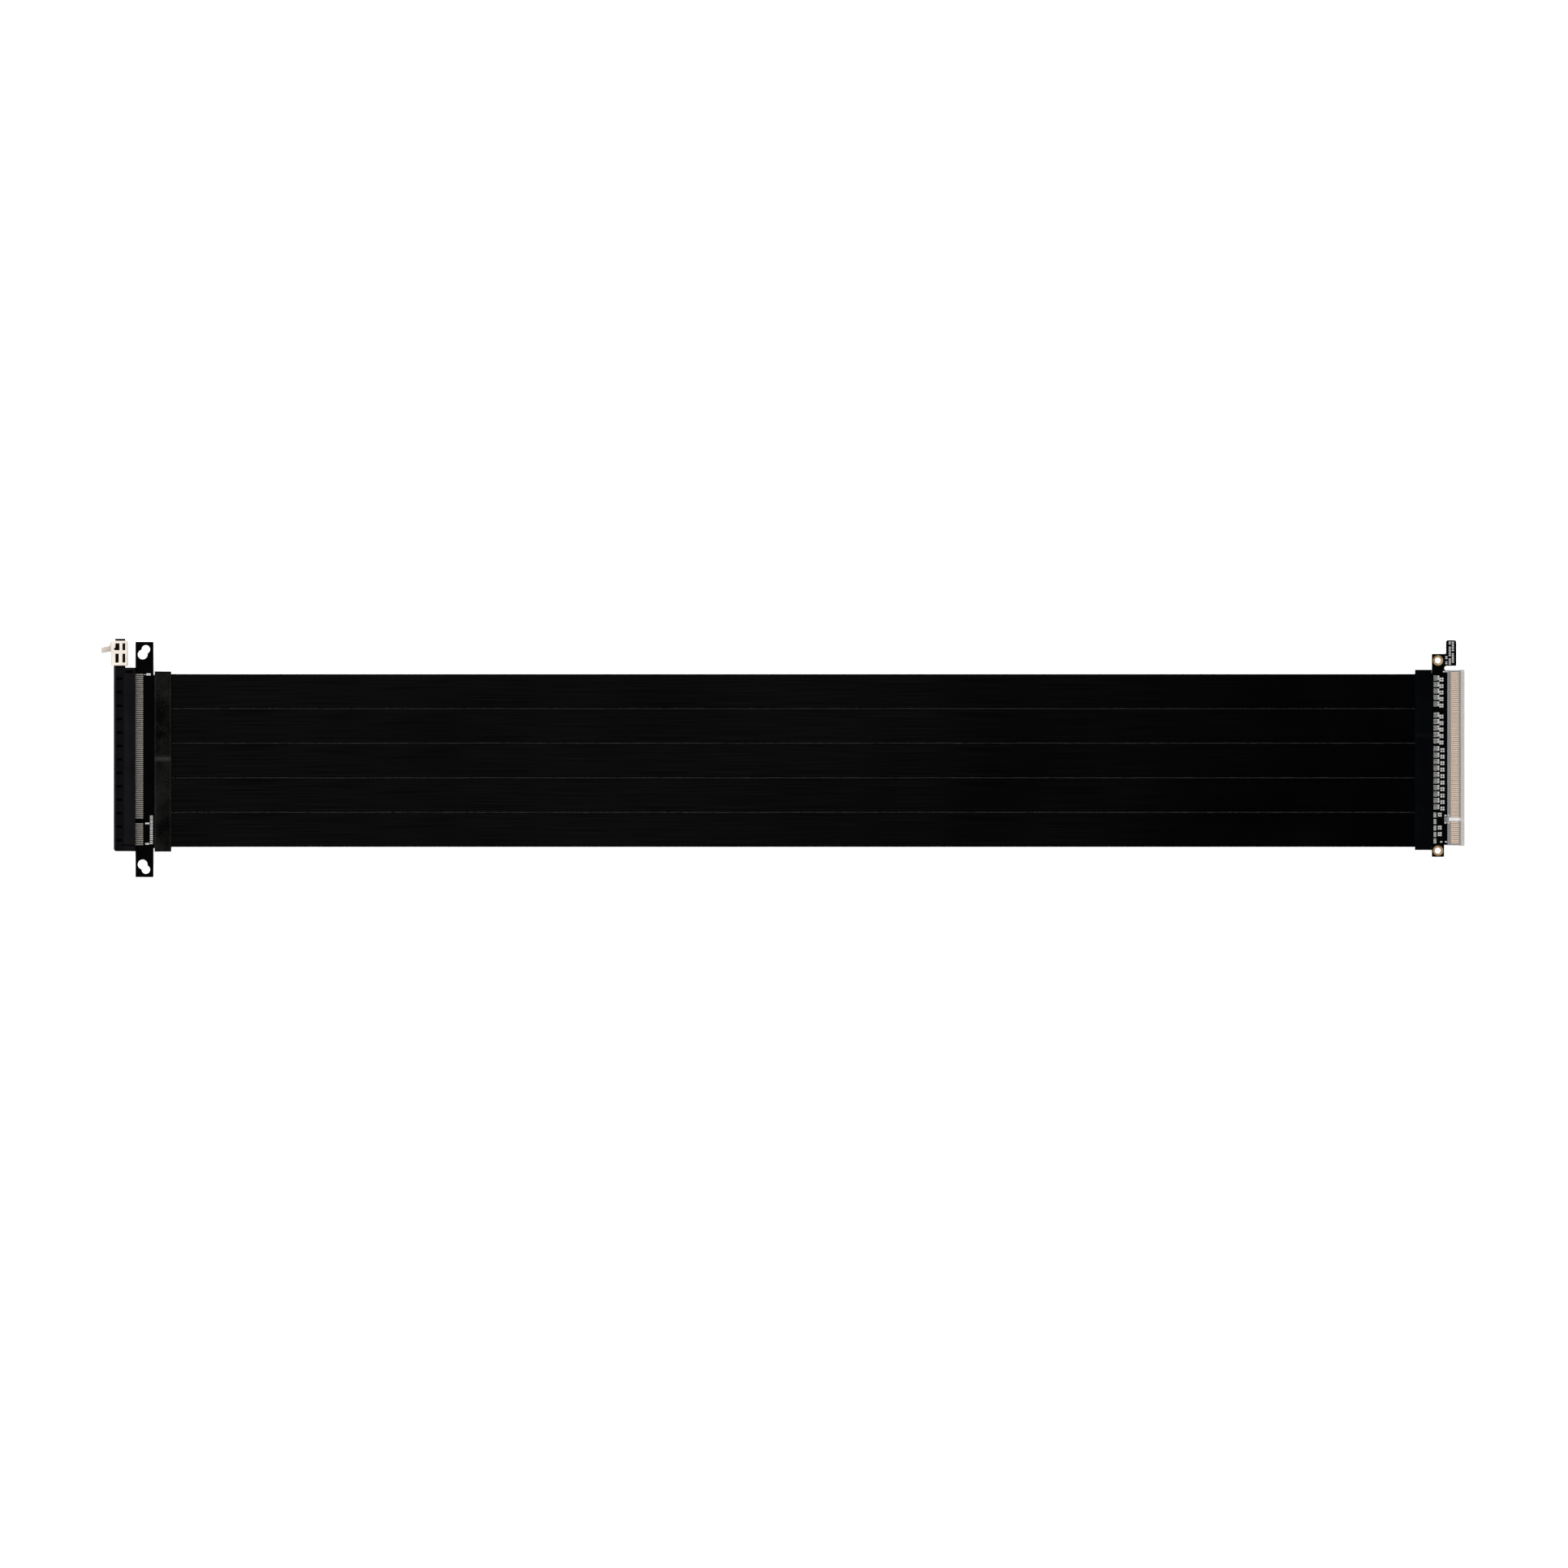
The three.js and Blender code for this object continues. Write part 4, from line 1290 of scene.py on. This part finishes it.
def makeStudio():
    deselectAll()
    size, level = studio["floor"]
    bpy.ops.mesh.primitive_plane_add(size=size, location=(0, 0, level))
    floor = bpy.context.object
    floor.name = "floor"
    material, tree = startMaterial("floor_paper")
    direct = addNode(tree, "LightPath").outputs["Is Camera Ray"]
    paper = addNode(tree, "BsdfDiffuse", {"Color": hexColour(studio["paper"])})
    lift = addNode(tree, "Math", {0: direct, 1: studio["glow"]}, operation="MULTIPLY")
    glow = addNode(tree, "Emission", {"Strength": lift.outputs[0]})
    both = addNode(tree, "AddShader", {0: paper.outputs[0], 1: glow.outputs[0]})
    finishMaterial(material, both)
    floor.data.materials.append(material)

    world = bpy.data.worlds.new("surround")
    bpy.context.scene.world = world
    world.use_nodes = True
    tree = world.node_tree
    tree.nodes.clear()
    rays = addNode(tree, "LightPath").outputs
    seen = addNode(
        tree, "Math", {0: rays["Is Camera Ray"], 1: rays["Is Glossy Ray"]}, operation="MAXIMUM"
    )
    seen = addNode(
        tree, "Math", {0: seen.outputs[0], 1: rays["Is Transmission Ray"]}, operation="MAXIMUM"
    )
    strength = addNode(
        tree,
        "MapRange",
        {"Value": seen.outputs[0], "To Min": studio["surround"], "To Max": 1.0},
    )
    sky = addNode(tree, "Background", {"Strength": strength.outputs["Result"]})
    addNode(tree, "OutputWorld", {"Surface": sky.outputs[0]})

    for name, (power, place, size) in studio["lamps"].items():
        data = bpy.data.lights.new(name, "AREA")
        data.energy = power
        data.size = size
        lamp = bpy.data.objects.new(name, data)
        lamp.location = place
        lamp.rotation_euler = Vector(place).to_track_quat("Z", "Y").to_euler()
        bpy.context.scene.collection.objects.link(lamp)


makeCamera()
film = ribbonFilm()
for index in range(ribbon["count"]):
    makeRibbon(index, film)
print("camera and ribbons made")

gold = plated("gold_plate", "#ffdaa8", "#f6c898", 0.3, 1.5)
worn = plated("gold_flash", "#b0966c", "#8c7450", 0.4, 1.0)
tin = plated("tin_solder", "#9c9992", "#6c6963", 0.38, 0.5)
mask = solderMask()
resin = pottingResin()
makeHousing(
    blackNylon("glass_filled_nylon_moulded", nylon["outer"], 0.03),
    blackNylon("glass_filled_nylon_painted_recess_shade", nylon["recess"], 0.006),
)
makeContacts(gold, tin)
makeLatch(ivoryNylon())
print("slot connector made")

# the last colour of each tape is its painted highlight on the cut edges and along the lap
fuzzy = clothTape("slot_end_wrap", "cloth_tape_fuzzy", "#030303", "#232321", "#464643")
smooth = clothTape("plug_end_wrap", "cloth_tape_smooth", "#030405", "#07090b", "#101215")
makeWrap("slot_end_wrap", fuzzy)
makeWrap("plug_end_wrap", smooth)
print("tape made")

makeFingers(gold)
makeCover(clearVinyl())
legend = whiteInk()
makeMarks("slot_board_legend", marks["slot"], slotOrigin.z + boards["half"], legend)
makeMarks("plug_board_legend", plugMarks(), plugOrigin.z + boards["half"], legend)
makeBoards(mask, worn)
for node in ("slot_end_potting", "plug_end_potting"):
    dressNode(node, resin)
print("plug made")

makeStudio()
bpy.context.scene.view_settings.view_transform = "Standard"
print("studio made")
